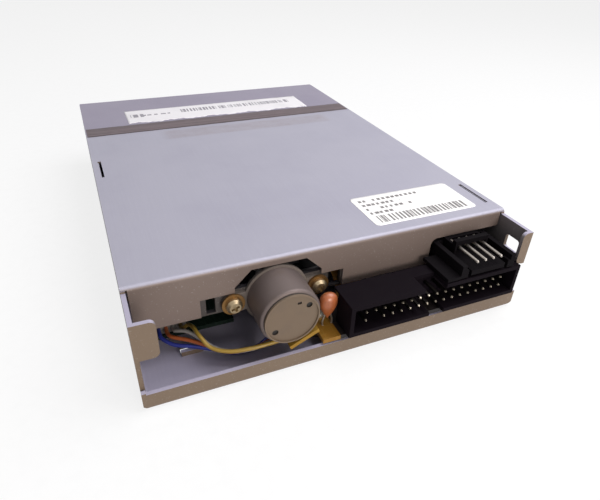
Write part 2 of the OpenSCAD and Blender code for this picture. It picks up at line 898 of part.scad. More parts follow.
// Its children at both screws of the motor, with +Z to the rear from y
module at_motor_screws(y) {
  for (side = [-1, 1])
    translate([motor_x + side * motor_screw_pitch / 2, y, motor_z]) rotate([-90, 0, 0]) children();
}
module rod(d, z0, z1) {
  translate([0, 0, z0]) cylinder(d = d, h = z1 - z0);
}

module motor_plate() color([0.75, 0.75, 0.74]) {
  difference() {
    union() {
      bar_y(motor_x, motor_z, motor_plate_d, motor_y, can_y);
      at_motor_screws(motor_y) rod(motor_ear_d, 0, motor_plate_t);
      slab(motor_x, motor_screw_pitch, motor_y, can_y, motor_z - motor_ear_d / 2, motor_z + motor_ear_d / 2);
    }
    at_motor_screws(motor_y) rod(motor_screw_d + 2 * run_fit, -over, motor_plate_t + over);
    bar_y(motor_x, motor_z, boss_d, motor_y - over, can_y + over);
  }
}

// The can is a drawn steel cup with a round shoulder
module stepper_can() color([0.58, 0.57, 0.56]) {
  r = can_d / 2;
  translate([motor_x, can_y, motor_z]) rotate([-90, 0, 0]) {
    rotate_extrude() {
      translate([boss_d / 4, 0]) square([r - boss_d / 4, can_l - can_edge_r]);
      translate([boss_d / 4, 0]) square([r - can_edge_r - boss_d / 4, can_l]);
      translate([r - can_edge_r, can_l - can_edge_r]) circle(r = can_edge_r, $fn = 32);
    }
  }
  difference() {
    bar_y(motor_x, motor_z, boss_d - 2 * run_fit, motor_y - boss_l, can_y + over);
    bar_y(motor_x, motor_z, boss_d / 2, motor_y - boss_l - over, can_y + 2 * over);
  }
}

module stepper_end_cap() color([0.7, 0.66, 0.6]) {
  r = can_d / 2 - can_edge_r;
  difference() {
    union() {
      bar_y(motor_x, motor_z, 2 * r, can_rear_y, can_rear_y + cap_t);
      difference() {
        bar_y(motor_x, motor_z, 2 * r, can_rear_y, can_rear_y + cap_t + cap_rim_t);
        bar_y(motor_x, motor_z, 2 * (r - cap_rim_w), can_rear_y + cap_t,
          can_rear_y + cap_t + cap_rim_t + over);
      }
    }
    for (turn = [35, 215])
      translate([motor_x + cap_hole_r * cos(turn), can_rear_y, motor_z + cap_hole_r * sin(turn)])
        rotate([-90, 0, 0]) translate([0, 0, cap_t / 4]) cylinder(d = cap_hole_d, h = cap_t + over);
    translate([motor_x + cap_hole_r / 3, can_rear_y + cap_t / 2, motor_z + 0.8 * cap_hole_r])
      cube([cap_slot_w, cap_t + over, cap_slot_h], center = true);
  }
}

// The strip stands against the lower side of the can, turned about the motor axis
module motor_terminal_strip() color([0.5, 0.36, 0.18]) {
  r = can_d / 2 + slip;
  translate([motor_x, can_rear_y - terminal_l + cap_rim_t, motor_z])
    rotate([0, -terminal_turn, 0])
      difference() {
        translate([r, 0, -terminal_w / 2]) cube([terminal_t, terminal_l, terminal_w]);
        for (k = [-1.5:1:1.5])
          translate([r - over, terminal_l - pad_pitch, k * pad_pitch])
            rotate([0, 90, 0]) cylinder(d = pad_d, h = terminal_t + 2 * over);
      }
}

module motor_washers() color([0.72, 0.55, 0.25]) {
  at_motor_screws(can_y) difference() {
    rod(washer_d, 0, washer_t);
    rod(washer_bore_d, -over, washer_t + over);
  }
}

module motor_screws() color([0.7, 0.66, 0.55]) {
  at_motor_screws(can_y + washer_t) rotate(20)
    screw(motor_screw_head_d, motor_screw_head_t, motor_screw_d, motor_screw_l);
}

// Leads of the motor. Each route runs from the terminal strip, under the can and the flange,
// to the plug. The points are chosen by hand.
yellow_route = [
  [16.8, 66.4, 6.6], [20.5, 67, 7], [25, 67, 7], [30, 65.6, 6.4], [33.6, 63, 6.4], [35.4, 60, 7.8],
  [36.2, 56, 7.8], [36.8, 53.4, 6.7], [38.1, 51.8, 4.7], [38.3, 50.1, 4.4]
];
white_route = [
  [17.2, 64.8, 5.6], [21, 65.4, 5.6], [25, 65.4, 5.2], [29.6, 64, 4.8], [33, 61.6, 5.2],
  [35.2, 58.4, 6], [37.6, 55, 6.1], [39.7, 52.6, 5], [40.1, 51.6, 4.4], [40.1, 50.1, 4.4]
];
orange_route = [
  [18, 63.2, 4.8], [21, 63.8, 4.2], [25, 63.8, 3.6], [29.6, 62.6, 3.4], [33, 60.3, 4.1],
  [37.4, 56.6, 4.5], [41, 54, 4.5], [41.9, 52, 4.4], [41.9, 50.1, 4.4]
];
blue_route = [
  [19, 61.8, 4.2], [21.6, 62.2, 2.6], [25, 62.4, 2], [29, 61.6, 2], [33, 59.4, 2.6],
  [37, 57.4, 3.1], [41, 55.4, 3.2], [43.4, 53.2, 4.1], [43.7, 51.6, 4.4], [43.7, 50.1, 4.4]
];

module lead(route) {
  tube(smooth_route(route, 4), lead_d / 2, 8);
}
module lead_yellow() color([0.85, 0.65, 0.12]) lead(yellow_route);
module lead_white() color([0.88, 0.86, 0.8]) lead(white_route);
module lead_orange() color([0.82, 0.3, 0.1]) lead(orange_route);
module lead_blue() color([0.12, 0.16, 0.6]) lead(blue_route);

module lead_socket() color([0.88, 0.86, 0.8]) {
  difference() {
    slab(socket_x, socket_w, socket_y, socket_y + socket_l, spindle_board_top, spindle_board_top + socket_h);
    span([socket_x - plug_w / 2 - seat, socket_y + pan_t, spindle_board_top + pan_t / 2],
      [socket_x + plug_w / 2 + seat, socket_y + socket_l + over,
      spindle_board_top + pan_t / 2 + plug_h + seat]);
  }
}

module lead_plug() color([0.9, 0.88, 0.82]) {
  low = spindle_board_top + pan_t / 2 + seat / 2;
  difference() {
    slab(socket_x, plug_w, socket_y + pan_t + seat, socket_y + pan_t + plug_l, low, low + plug_h);
    for (k = [-1.5:1:1.5])
      span([socket_x + k * pad_pitch - pad_d / 4, socket_y + pan_t + plug_l / 3,
        low + 0.8 * plug_h], [socket_x + k * pad_pitch + pad_d / 4,
        socket_y + pan_t + 2 * plug_l / 3, low + plug_h + over]);
  }
}

// Main board

module main_board() color([0.42, 0.3, 0.16]) {
  low = board_low_z;
  difference() {
    union() {
      span([board_edge_x, strip_from_y, low], [strip_to_x, main_board_rear_y, main_board_top]);
      span([board_edge_x, wing_from_y, low], [wing_x, strip_from_y + over, main_board_top]);
    }
    at_posts([2:5]) rod(small_screw_d + 2 * run_fit, -over, board_t + over);
  }
}

module board_screws() color([0.72, 0.7, 0.62]) {
  at_posts([2:5]) translate([0, 0, board_t])
    screw(small_head_d, small_head_t, small_screw_d, small_screw_l);
}

module data_shroud() color([0.06, 0.06, 0.06]) {
  low = shroud_z - shroud_h / 2;
  high = shroud_z + shroud_h / 2;
  left = data_x + shroud_w / 2;
  right = data_x - shroud_w / 2;
  front = shroud_rear_y - shroud_d;
  difference() {
    span([right, front, low], [left, shroud_rear_y, high]);
    span([right + shroud_wall, front + shroud_back, low + shroud_wall],
      [left - shroud_wall, shroud_rear_y + over, high - shroud_wall]);
    // Key slot of the bottom wall and the wider one of the top wall
    slab(data_x, key_w, front + shroud_back, shroud_rear_y + over, low - over, low + shroud_wall + over);
    slab(data_x + top_key_x, top_key_w, shroud_rear_y - top_key_l, shroud_rear_y + over,
      high - shroud_wall - over, high + over);
    // Cut corner at the back of the left end
    translate([left, front, low - over]) rotate(45)
      cube([2 * shroud_chamfer / sqrt(2), 2 * shroud_chamfer / sqrt(2), 2 * shroud_h],
        center = true);
    pin_grid(true);
  }
}

// Pins of the data connector; with holes true, the holes that they pass through
module pin_grid(holes) {
  w = pin_w;
  tip = shroud_rear_y - pin_recess;
  for (row = [0, 1], i = [0:data_columns - 1])
    if (holes || !(row == 0 && i == missing_column)) {
      x = data_x + (data_columns - 1) * data_pitch / 2 - i * data_pitch;
      z = shroud_z + (row - 0.5) * data_pitch;
      y = pin_tail_y - row * data_pitch / 2;
      if (holes)
        slab(x, w, y, tip, z - w / 2, z + w / 2);
      else {
        slab(x, w, y, tip - pin_tip, z - w / 2, z + w / 2);
        translate([x, tip - pin_tip, z]) rotate([-90, 45, 0])
          cylinder(d1 = w * sqrt(2), d2 = w / 2, h = pin_tip, $fn = 4);
        slab(x, w, y, y + w, main_board_top, z + w / 2);
      }
    }
}

module data_pins() color([0.8, 0.75, 0.6]) pin_grid(false);

module power_housing() color([0.07, 0.07, 0.07]) {
  left = power_x + power_w / 2;
  right = power_x - power_w / 2;
  foot_y = power_y + power_back_t;
  shelf = tongue_top - power_wall;
  difference() {
    union() {
      // Back wall that stands on the board
      span([right, power_y, main_board_top], [left, power_y + power_foot_t, power_wall_top]);
      // Block round the roots of the pins, with a raised rib at its front
      slab(power_x, tongue_w, power_y, foot_y, power_low_z, power_back_top);
      slab(power_x, tongue_w, foot_y - power_wall, foot_y, power_low_z, power_rib_top);
      // Sides, with thicker posts at the front
      for (x = [right, left - power_wall])
        span([x, power_y, power_low_z], [x + power_wall, power_front_y, power_wall_top]);
      for (x = [right, left - power_post_w])
        span([x, power_front_y - power_post_w, power_low_z],
          [x + power_post_w, power_front_y, power_wall_top - power_wall]);
      // Shelf under the pins
      slab(power_x, tongue_w, foot_y - seat, power_front_y, shelf, tongue_top);
      span([right, power_y, power_low_z], [left, power_front_y - power_wall, shelf + seat]);
      // Ledge that lies on the data connector
      span([left - seat, shroud_rear_y - shroud_d - power_wall, power_low_z],
        [left + ledge_w, shroud_rear_y - 2 * seat, power_low_z + ledge_t]);
    }
    for (k = [-1.5:1:1.5])
      slab(power_x + k * power_pitch, power_pin_w, power_y - over, foot_y + over,
        power_z - power_pin_w / 2, power_z + power_pin_w / 2);
    // Recess over the roots of the pins
    span([power_x - tongue_w / 2 + power_wall / 2, power_y + power_back_t / 2,
      power_z - power_wall / 2],
      [power_x + tongue_w / 2 - power_wall / 2, foot_y + over, power_z + power_wall / 2]);
  }
}

// Round-nosed pins that turn down behind the data connector to the board
module power_pins() color([0.82, 0.8, 0.76]) {
  w = power_pin_w;
  for (k = [-1.5:1:1.5]) {
    x = power_x + k * power_pitch;
    y = power_y - seat - w;
    bar_y(x, power_z, w, y + w / 2, power_pin_tip_y - w / 2);
    translate([x, power_pin_tip_y - w / 2, power_z]) sphere(d = w, $fn = 24);
    bar_z(x, y + w / 2, w, main_board_top, power_z);
    translate([x, y + w / 2, power_z]) sphere(d = w, $fn = 24);
  }
}

// A dipped capacitor: a drop of resin over two leads
module drop_capacitor() color([0.85, 0.4, 0.2]) {
  translate([cap_x, cap_y, cap_z - drop_h / 2])
    resize([drop_w, drop_t, drop_h])
      rotate_extrude($fn = 24)
        polygon([for (i = [0:12]) let (a = 180 * i / 12)
          [max(0, sin(a) * pow(sin(a / 2), 1.2)), (1 - cos(a)) / 2]]);
  for (side = [-1, 1])
    bar_z(cap_x + side * drop_lead_pitch / 2, cap_y, drop_lead_d, main_board_top,
      cap_z - drop_h / 4);
}

module controller_chip() color([0.08, 0.08, 0.08]) {
  low = main_board_top + chip_leg_t + seat;
  difference() {
    slab(chip_x, chip_w, chip_y - chip_w / 2, chip_y + chip_w / 2, low, low + chip_t);
    bar_z(chip_x - chip_w / 2 + chip_leg_l, chip_y - chip_w / 2 + chip_leg_l, chip_leg_pitch,
      low + 0.9 * chip_t, low + chip_t + over);
  }
}

module chip_legs() color([0.75, 0.75, 0.75]) {
  start = -(chip_leg_n - 1) / 2 * chip_leg_pitch;
  for (turn = [0:90:270], i = [0:chip_leg_n - 1])
    translate([chip_x, chip_y, 0]) rotate(turn)
      translate([start + i * chip_leg_pitch - chip_leg_w / 2, chip_w / 2, main_board_top]) {
        cube([chip_leg_w, chip_leg_l, chip_leg_t]);
        cube([chip_leg_w, chip_leg_t, chip_t / 2]);
      }
}

// Place of each small part as shares of the wing, then its size as shares of the chip
part_shares = [[0.81, 0.25, 0.17, 0.1], [0.81, 0.38, 0.17, 0.1], [0.29, 0.14, 0.27, 0.13],
  [0.57, 0.16, 0.17, 0.1], [0.93, 0.47, 0.1, 0.17], [0.33, 0.85, 0.27, 0.13],
  [0.53, 0.85, 0.27, 0.13], [0.77, 0.88, 0.38, 0.17]];

// Small chip parts of the board
module board_parts() color([0.35, 0.3, 0.25]) {
  for (p = part_shares)
    translate([board_edge_x + wing_w * p[0], wing_from_y + (strip_from_y - wing_from_y) * p[1],
      main_board_top + board_t / 4])
      cube([chip_w * p[2], chip_w * p[3], board_t / 2], center = true);
}

// Spindle motor

module spindle_board() color([0.2, 0.32, 0.2]) {
  low = spindle_board_z;
  difference() {
    union() {
      span([-spindle_board_x, spindle_board_from_y, low],
        [spindle_board_x, spindle_board_to_y, spindle_board_top]);
      span([board_tongue_x - board_tongue_w, spindle_board_to_y - over, low],
        [board_tongue_x, socket_y + socket_l + plug_l / 3, spindle_board_top]);
    }
    bar_z(0, spindle_y, bearing_d + 2 * run_fit, low - over, spindle_board_top + over);
    for (k = [0, 1], side = [-1, 1])
      bar_z(side * mount_pitch_x / 2, mount_front_y + k * mount_pitch_y,
        mount_boss_d + 2 * slip, low - over, spindle_board_top + over);
  }
}

module spindle_bearing() color([0.72, 0.6, 0.35]) {
  difference() {
    union() {
      bar_z(0, spindle_y, bearing_foot_d, spindle_board_top, spindle_board_top + bearing_foot_t);
      bar_z(0, spindle_y, bearing_d, spindle_board_z + seat, rotor_top_z - rotor_t - slip);
    }
    bar_z(0, spindle_y, shaft_d + 2 * run_fit, spindle_board_z - over, rotor_top_z + over);
  }
}

// Twelve poles with wide shoes round a yoke
module stator_core() color([0.5, 0.5, 0.52]) {
  translate([0, spindle_y, stator_z]) linear_extrude(height = stator_t) {
    difference() {
      circle(d = stator_in_d + 2 * pole_w);
      circle(d = bearing_d + 2 * seat);
    }
    for (k = [0:stator_poles - 1]) rotate(360 * k / stator_poles) {
      translate([stator_in_d / 2, -pole_w / 2])
        square([stator_out_d / 2 - stator_in_d / 2 - pole_shoe_t / 2, pole_w]);
      intersection() {
        difference() {
          circle(d = stator_out_d);
          circle(d = stator_out_d - 2 * pole_shoe_t);
        }
        translate([0, -pole_shoe_w / 2]) square([stator_out_d, pole_shoe_w]);
      }
    }
  }
}

module stator_coils() color([0.75, 0.4, 0.2]) {
  z = stator_z + stator_t / 2;
  for (k = [0:stator_poles - 1]) translate([0, spindle_y, z]) rotate(360 * k / stator_poles)
    difference() {
      translate([coil_in_r, -coil_w / 2, -coil_h / 2])
        cube([coil_out_r - coil_in_r, coil_w, coil_h]);
      translate([coil_in_r - over, -pole_w / 2, -stator_t / 2])
        cube([coil_out_r - coil_in_r + 2 * over, pole_w, stator_t]);
    }
}

module rotor_cup() color([0.66, 0.66, 0.68]) {
  difference() {
    bar_z(0, spindle_y, rotor_d, rotor_z, rotor_top_z);
    bar_z(0, spindle_y, rotor_d - 2 * rotor_t, rotor_z - over, rotor_top_z - rotor_t);
    bar_z(0, spindle_y, shaft_d, rotor_z - over, rotor_top_z + over);
    bar_z(drive_pin_r, spindle_y, drive_pin_d + 2 * slip, rotor_z - over, rotor_top_z + over);
    for (turn = [60, 180, 300])
      translate([0.3 * rotor_d * cos(turn), spindle_y + 0.3 * rotor_d * sin(turn), rotor_z])
        cylinder(d = drive_pin_d, h = rotor_top_z);
  }
}

module rotor_magnet() color([0.2, 0.2, 0.2]) {
  outer = rotor_d - 2 * rotor_t;
  difference() {
    bar_z(0, spindle_y, outer, rotor_z, rotor_top_z - rotor_t - slip);
    bar_z(0, spindle_y, outer - 2 * magnet_t, rotor_z - over, rotor_top_z);
  }
}

module disk_hub() color([0.8, 0.78, 0.7]) {
  difference() {
    union() {
      bar_z(0, spindle_y, hub_d, rotor_top_z, hub_top_z - slip);
      bar_z(0, spindle_y, hub_shoulder_d, rotor_top_z, hub_top_z);
      bar_z(0, spindle_y, shaft_d + magnet_t, rotor_top_z, hub_tip_z - slip);
      translate([0, spindle_y, hub_tip_z - slip])
        cylinder(d1 = shaft_d + magnet_t, d2 = shaft_d, h = slip);
      bar_z(0, spindle_y, shaft_d, spindle_board_top, hub_tip_z - slip);
    }
    bar_z(drive_pin_r, spindle_y, drive_pin_d + 2 * slip, rotor_top_z - over, hub_top_z + over);
  }
}

module pin_leaf_spring() color([0.75, 0.7, 0.5]) {
  z = rotor_top_z - rotor_t - leaf_t;
  translate([drive_pin_r, spindle_y, z]) {
    difference() {
      translate([-leaf_w / 2, -leaf_l / 2, 0]) cube([leaf_w, leaf_l, leaf_t]);
      translate([0, 0, -over]) cylinder(d = drive_pin_d / 2, h = leaf_t + 2 * over);
    }
  }
}

module drive_pin() color([0.85, 0.83, 0.78]) {
  base = rotor_top_z - rotor_t;
  bar_z(drive_pin_r, spindle_y, drive_pin_d, base, drive_pin_z - slip);
  translate([drive_pin_r, spindle_y, drive_pin_z - slip])
    cylinder(d1 = drive_pin_d, d2 = drive_pin_d - 2 * slip, h = slip);
  bar_z(drive_pin_r, spindle_y, drive_pin_d / 2, base - leaf_t, base + seat);
}

// Lead screw: a round bar whose centre winds about the axis, which makes one smooth groove.
// The groove faces the carriage's needle at the rest position.
module lead_screw() color([0.78, 0.78, 0.76]) {
  turns = (screw_to_y - screw_from_y) / screw_lead;
  start = 360 * (screw_from_y - follower_y) / screw_lead;
  translate([motor_x, screw_from_y, motor_z]) rotate([-90, 0, 0]) rotate(start)
    linear_extrude(height = screw_to_y - screw_from_y, twist = -360 * turns,
      slices = screw_steps, convexity = 4)
      translate([screw_wave, 0]) circle(r = screw_r, $fn = screw_sides);
  bar_y(motor_x, motor_z, journal_d, bracket_front_y - slip, screw_from_y + over);
  bar_y(motor_x, motor_z, journal_d, screw_to_y - over, motor_y + motor_plate_t / 2);
}

module guide_rod() color([0.85, 0.85, 0.86]) {
  bar_y(rod_x, rod_z, rod_d, rod_from_y, rod_to_y);
}

module rod_clamps() color([0.7, 0.69, 0.66]) {
  foot = rod_z - rod_d / 2 - clamp_wall;
  for (y = [rod_from_y + seat, rod_to_y - clamp_l - seat])
    difference() {
      union() {
        span([rod_x - clamp_w, y, foot],
          [rod_x + rod_d / 2 + clamp_wall, y + clamp_l, foot + clamp_wall]);
        bar_y(rod_x, rod_z, rod_d + 2 * clamp_wall, y, y + clamp_l);
      }
      bar_y(rod_x, rod_z, rod_d, y - over, y + clamp_l + over);
      bar_z(rod_x - clamp_screw_x, y + clamp_l / 2, small_screw_d, foot - over,
        foot + clamp_wall + over);
    }
}

module bracket_screws() color([0.72, 0.7, 0.62]) {
  at_posts([0, 1]) translate([0, 0, base_strip_t])
    screw(small_head_d, small_head_t, small_screw_d, small_screw_l);
  at_posts([6, 7]) translate([0, 0, clamp_wall])
    screw(small_head_d, small_head_t, small_screw_d, small_screw_l);
}

// Heads

module head_carriage() color([0.3, 0.3, 0.32]) {
  sleeve_from = sleeve_y - sleeve_l / 2;
  needle_reach = screw_r - screw_wave + needle_gap;
  ear_x = upper_arm_root_w / 2 + slip;
  difference() {
    union() {
      bar_y(rod_x, rod_z, sleeve_d, sleeve_from, sleeve_from + sleeve_l);
      span([rod_x, upright_from_y, rod_z + rod_d / 2], [arm_w / 2, upright_to_y, arm_top_z]);
      span([-arm_w / 2, arm_front_y, arm_under_z], [arm_w / 2, upright_from_y + over, arm_top_z]);
      // Upright with two ears for the hinge pin
      span([-arm_w / 2, upright_from_y, arm_under_z], [arm_w / 2, upright_to_y, upright_top_z]);
      for (x = [-ear_x - hinge_ear_t, ear_x]) {
        span([x, hinge_y - hinge_ear_r, upright_top_z - seat],
          [x + hinge_ear_t, hinge_y + hinge_ear_r, hinge_z]);
        bar_x(hinge_y, hinge_z, 2 * hinge_ear_r, x, x + hinge_ear_t);
      }
      // Arm and needle that run in the groove of the lead screw
      span([arm_w / 2 - over, follower_y - follower_w / 2, motor_z - follower_h / 2],
        [motor_x - screw_r - screw_wave - slip, follower_y + follower_w / 2,
        motor_z + follower_h / 2]);
      span([ear_x, follower_y - follower_w / 2, arm_under_z],
        [arm_w / 2, follower_y + follower_w / 2, motor_z + follower_h / 2]);
      bar_x(follower_y, motor_z, needle_d, arm_w / 2, motor_x - needle_reach);
      // Flag of the track sensor
      span([rod_x - sleeve_d / 2 - flag_l, sleeve_y - flag_l / 2, flag_z - flag_t / 2],
        [rod_x, sleeve_y + flag_l / 2, flag_z + flag_t / 2]);
    }
    bar_y(rod_x, rod_z, rod_d + 2 * run_fit, sleeve_from - over, sleeve_from + sleeve_l + over);
    bar_x(hinge_y, hinge_z, hinge_d, -arm_w, arm_w / 2 + over);
    // Lightening pocket and the hollow beneath the lower head
    translate([0, (arm_front_y + upright_from_y) / 2 + gimbal_l / 2, arm_under_z - over])
      linear_extrude(height = arm_top_z) round_rect(arm_w / 2, gimbal_l, pan_t);
    bar_z(0, head_y, head_w - pan_t, arm_under_z - over, arm_top_z + over);
  }
}

module lower_head() color([0.85, 0.85, 0.82]) {
  translate([0, head_y, arm_top_z]) {
    translate([-gimbal_w / 2, -gimbal_l / 2, 0]) cube([gimbal_w, gimbal_l, gimbal_t]);
    head_block(head_face_z - arm_top_z);
  }
}

// Slider block of a head: a low block with two rails on its face, from z = 0 to z = h
module head_block(h) {
  translate([-head_w / 2, -head_l / 2, gimbal_t / 2])
    cube([head_w, head_l, h - head_rail_t - gimbal_t / 2]);
  for (x = [-head_w / 2, head_w / 2 - head_rail_w])
    translate([x, -head_l / 2, h - head_rail_t - seat]) cube([head_rail_w, head_l, head_rail_t + seat]);
}

// Turns its children from the arm's working pose, level, to its raised rest pose
module raised() {
  translate([0, hinge_y, hinge_z]) rotate([-raise_angle, 0, 0])
    translate([0, -hinge_y, -hinge_z]) children();
}

module arm_hinge_pin() color([0.8, 0.8, 0.8]) {
  reach = upper_arm_root_w / 2 + slip + hinge_ear_t;
  bar_x(hinge_y, hinge_z, hinge_d, -reach - 2 * slip - arm_spring_w, reach);
}

module upper_head_arm() color([0.34, 0.34, 0.36]) raised() {
  low = hinge_z - upper_arm_t / 2;
  high = hinge_z + upper_arm_t / 2;
  difference() {
    union() {
      translate([0, 0, low]) linear_extrude(height = upper_arm_t)
        polygon([
          [-upper_arm_root_w / 2, hinge_y], [upper_arm_root_w / 2, hinge_y],
          [upper_arm_root_w / 2, hinge_y - 2 * hinge_ear_r],
          [upper_arm_tip_w / 2, arm_front_y], [-upper_arm_tip_w / 2, arm_front_y],
          [-upper_arm_root_w / 2, hinge_y - 2 * hinge_ear_r]
        ]);
      bar_x(hinge_y, hinge_z, 2 * hinge_ear_r - slip, -upper_arm_root_w / 2,
        upper_arm_root_w / 2);
      for (x = [-upper_arm_tip_w / 2, upper_arm_tip_w / 2 - upper_arm_rib_t])
        span([x, arm_front_y, high - seat],
          [x + upper_arm_rib_t, hinge_y - 2 * hinge_ear_r, high + upper_arm_rib_h]);
    }
    bar_x(hinge_y, hinge_z, hinge_d + 2 * run_fit, -arm_w, arm_w);
  }
}

module upper_head() color([0.85, 0.85, 0.82]) raised() {
  root = hinge_z - upper_arm_t / 2;
  translate([0, head_y, root]) mirror([0, 0, 1]) {
    translate([-gimbal_w / 2, -gimbal_l / 2, 0]) cube([gimbal_w, gimbal_l, gimbal_t]);
    head_block(root - head_face_z - media_gap);
  }
}

// Points of a coil about the Z axis
function coil_path(curls, r, pitch, rings) = [for (i = [0:curls * rings])
  let (a = 360 * i / rings) [r * cos(a), r * sin(a), pitch * i / rings]];

module arm_spring() color([0.8, 0.8, 0.78]) {
  r = (arm_spring_d + arm_spring_wire) / 2;
  translate([-arm_w / 2 - slip - arm_spring_w, hinge_y, hinge_z]) rotate([0, 90, 0])
    tube(coil_path(arm_spring_curls, r, arm_spring_w / arm_spring_curls, 8),
      arm_spring_wire / 2, 6);
}

// Flat ribbon from the carriage to its socket on the main board
ribbon_w = 8;
ribbon_t = 0.2;
ribbon_x = -5;
ribbon_socket_l = 1.6;
ribbon_socket_h = 2;

module head_ribbon() color([0.75, 0.5, 0.2]) {
  from = [upright_to_y + ribbon_t, arm_top_z + ribbon_socket_h];
  to = [strip_from_y + ribbon_socket_l / 2, main_board_top + ribbon_socket_h];
  reach = to.x - from.x;
  rise = 1.5 * ribbon_socket_h;
  mid = [for (i = [0:16]) let (s = i / 16)
    [from.x + reach * s, from.y + (to.y - from.y) * s + rise * sin(180 * s)]];
  along_x(ribbon_x - ribbon_w / 2, ribbon_w)
    polygon(concat([for (p = mid) [p.x, p.y + ribbon_t / 2]],
      [for (i = [16:-1:0]) [mid[i].x, mid[i].y - ribbon_t / 2]]));
  span([ribbon_x - ribbon_w / 2 - ribbon_t, strip_from_y + ribbon_t, main_board_top],
    [ribbon_x + ribbon_w / 2 + ribbon_t, strip_from_y + ribbon_socket_l,
    main_board_top + ribbon_socket_h + ribbon_t]);
}

module track_sensor() color([0.1, 0.1, 0.1]) {
  x0 = sensor_x - sensor_w / 2;
  difference() {
    span([x0, sleeve_y - sensor_l / 2, main_board_top],
      [x0 + sensor_w, sleeve_y + sensor_l / 2, main_board_top + sensor_h]);
    span([x0 + sensor_w / 3, sleeve_y - sensor_l / 2 - over, flag_z - sensor_gap / 2],
      [x0 + sensor_w + over, sleeve_y + sensor_l / 2 + over, flag_z + sensor_gap / 2]);
  }
}

// Disk holder

module disk_holder() color([0.72, 0.73, 0.75]) {
  outer = holder_x + holder_t;
  low = holder_under_z;
  high = holder_top_z + holder_t;
  difference() {
    union() {
      span([-outer, holder_front_y, holder_top_z], [outer, holder_rear_y, high]);
      for (side = [-1, 1]) {
        x0 = side > 0 ? holder_x : -outer;
        span([x0, holder_front_y, low], [x0 + holder_t, holder_rear_y, high]);
        rest = side > 0 ? holder_x - holder_rest : -outer;
        span([rest, holder_front_y, low],
          [rest + holder_rest + holder_t, holder_rear_y, low + holder_t]);
        for (y = [holder_pin_front_y, holder_pin_rear_y])
          bar_x(y, pin_z, holder_pin_d, side > 0 ? outer - seat : -outer - holder_pin_l,
            side > 0 ? outer + holder_pin_l : -outer + seat);
      }
    }
    bar_z(lever_x, lever_y, lever_pin_d, holder_top_z - over, high + over);
    // Window for the head arm, open to the rear
    span([-holder_window_w / 2, holder_rear_y - holder_window_l, holder_top_z - over],
      [holder_window_w / 2, holder_rear_y + over, high + over]);
    // Slots round the two leaf springs that press on the disk
    for (side = [-1, 1])
      translate([side * disk_w / 4, spindle_y, holder_top_z - over])
        difference() {
          linear_extrude(height = holder_t + 2 * over)
            round_rect(holder_spring_w + 2 * holder_t, holder_spring_l + 2 * holder_t, holder_t);
          translate([0, holder_t, -over]) linear_extrude(height = holder_t + 4 * over)
            round_rect(holder_spring_w, holder_spring_l + 2 * holder_t, holder_t / 2);
        }
  }
}

module lever_pivot() color([0.8, 0.8, 0.8]) {
  low = holder_top_z - lever_t - 2 * slip;
  bar_z(lever_x, lever_y, lever_pin_d, low - holder_t, lever_spring_z + lever_spring_l);
  bar_z(lever_x, lever_y, lever_pin_d + 2 * holder_t, low - holder_t, low - seat);
}

module shutter_lever() color([0.85, 0.85, 0.8]) {
  low = holder_top_z - lever_t - slip;
  translate([lever_x, lever_y, low]) rotate(lever_turn)
    difference() {
      union() {
        cylinder(d = lever_root_d, h = lever_t);
        linear_extrude(height = lever_t)
          polygon([[0, lever_root_d / 2], [lever_l, lever_tip_d / 2],
            [lever_l, -lever_tip_d / 2], [0, -lever_root_d / 2]]);
        translate([lever_l, 0, 0]) cylinder(d = lever_tip_d, h = lever_t);
        translate([lever_l, 0, -lever_tip_pin_l])
          cylinder(d = lever_tip_pin_d, h = lever_tip_pin_l + seat);
      }
      translate([0, 0, -over]) cylinder(d = lever_pin_d + 2 * run_fit, h = lever_t + 2 * over);
    }
}

module lever_spring() color([0.8, 0.8, 0.78]) {
  r = lever_pin_d / 2 + 1.2 * lever_spring_wire;
  translate([lever_x, lever_y, lever_spring_z])
    tube(coil_path(lever_spring_curls, r, lever_spring_l / lever_spring_curls, 8),
      lever_spring_wire / 2, 6);
}

// Eject slider: a plate over the holder with slanted slots in its sides, which lift the holder

// Outline of one slanted slot in Y and Z about the holder pin at rest
module ramp_slot() {
  r = holder_pin_d / 2 + ramp_fit;
  hull() {
    circle(r = r);
    translate([slider_travel, -holder_drop]) circle(r = r);
  }
}

module eject_slider() color([0.66, 0.66, 0.68]) {
  outer = slider_x + slider_t;
  high = slider_top_z + slider_t;
  arm_low = button_z - button_h / 4;
  arm_high = button_z + button_h / 4;
  arm_y = front_y + button_inset + button_l;
  difference() {
    union() {
      span([-outer, slider_front_y, slider_top_z], [outer, slider_rear_y, high]);
      for (side = [-1, 1]) {
        x0 = side > 0 ? slider_x : -outer;
        span([x0, slider_front_y, slider_low_z], [x0 + slider_t, slider_rear_y, high]);
        // Lug that holds the rear end of a spring
        lug = side > 0 ? spring_x - spring_d / 2 : -outer;
        span([x0, spring_to_y, spring_z - slider_t], [x0 + slider_t, spring_to_y + 2 * slider_t
          + spring_hook_d, slider_low_z + seat]);
        span([lug, spring_to_y + spring_hook_d, spring_z - slider_t],
          [lug + outer - spring_x + spring_d / 2, spring_to_y + spring_hook_d + slider_t,
          spring_z + slider_t]);
      }
      // Arm that carries the button
      span([slider_x, arm_y, arm_low], [outer, slider_front_y + over, arm_high]);
      span([slider_x, slider_front_y, arm_low], [outer, slider_front_y + button_arm_w,
        slider_low_z + over]);
      span([button_x, arm_y, arm_low], [outer, arm_y + slider_t, arm_high]);
    }
    span([-slider_window_w / 2, spindle_y + slider_hub_d / 3, slider_top_z - over],
      [slider_window_w / 2, slider_rear_y + over, high + over]);
    bar_z(0, spindle_y, slider_hub_d, slider_top_z - over, high + over);
    for (y = [holder_pin_front_y, holder_pin_rear_y])
      translate([-outer - over, y, pin_z]) rotate([90, 0, 90])
        linear_extrude(height = 2 * outer + 2 * over) ramp_slot();
  }
}

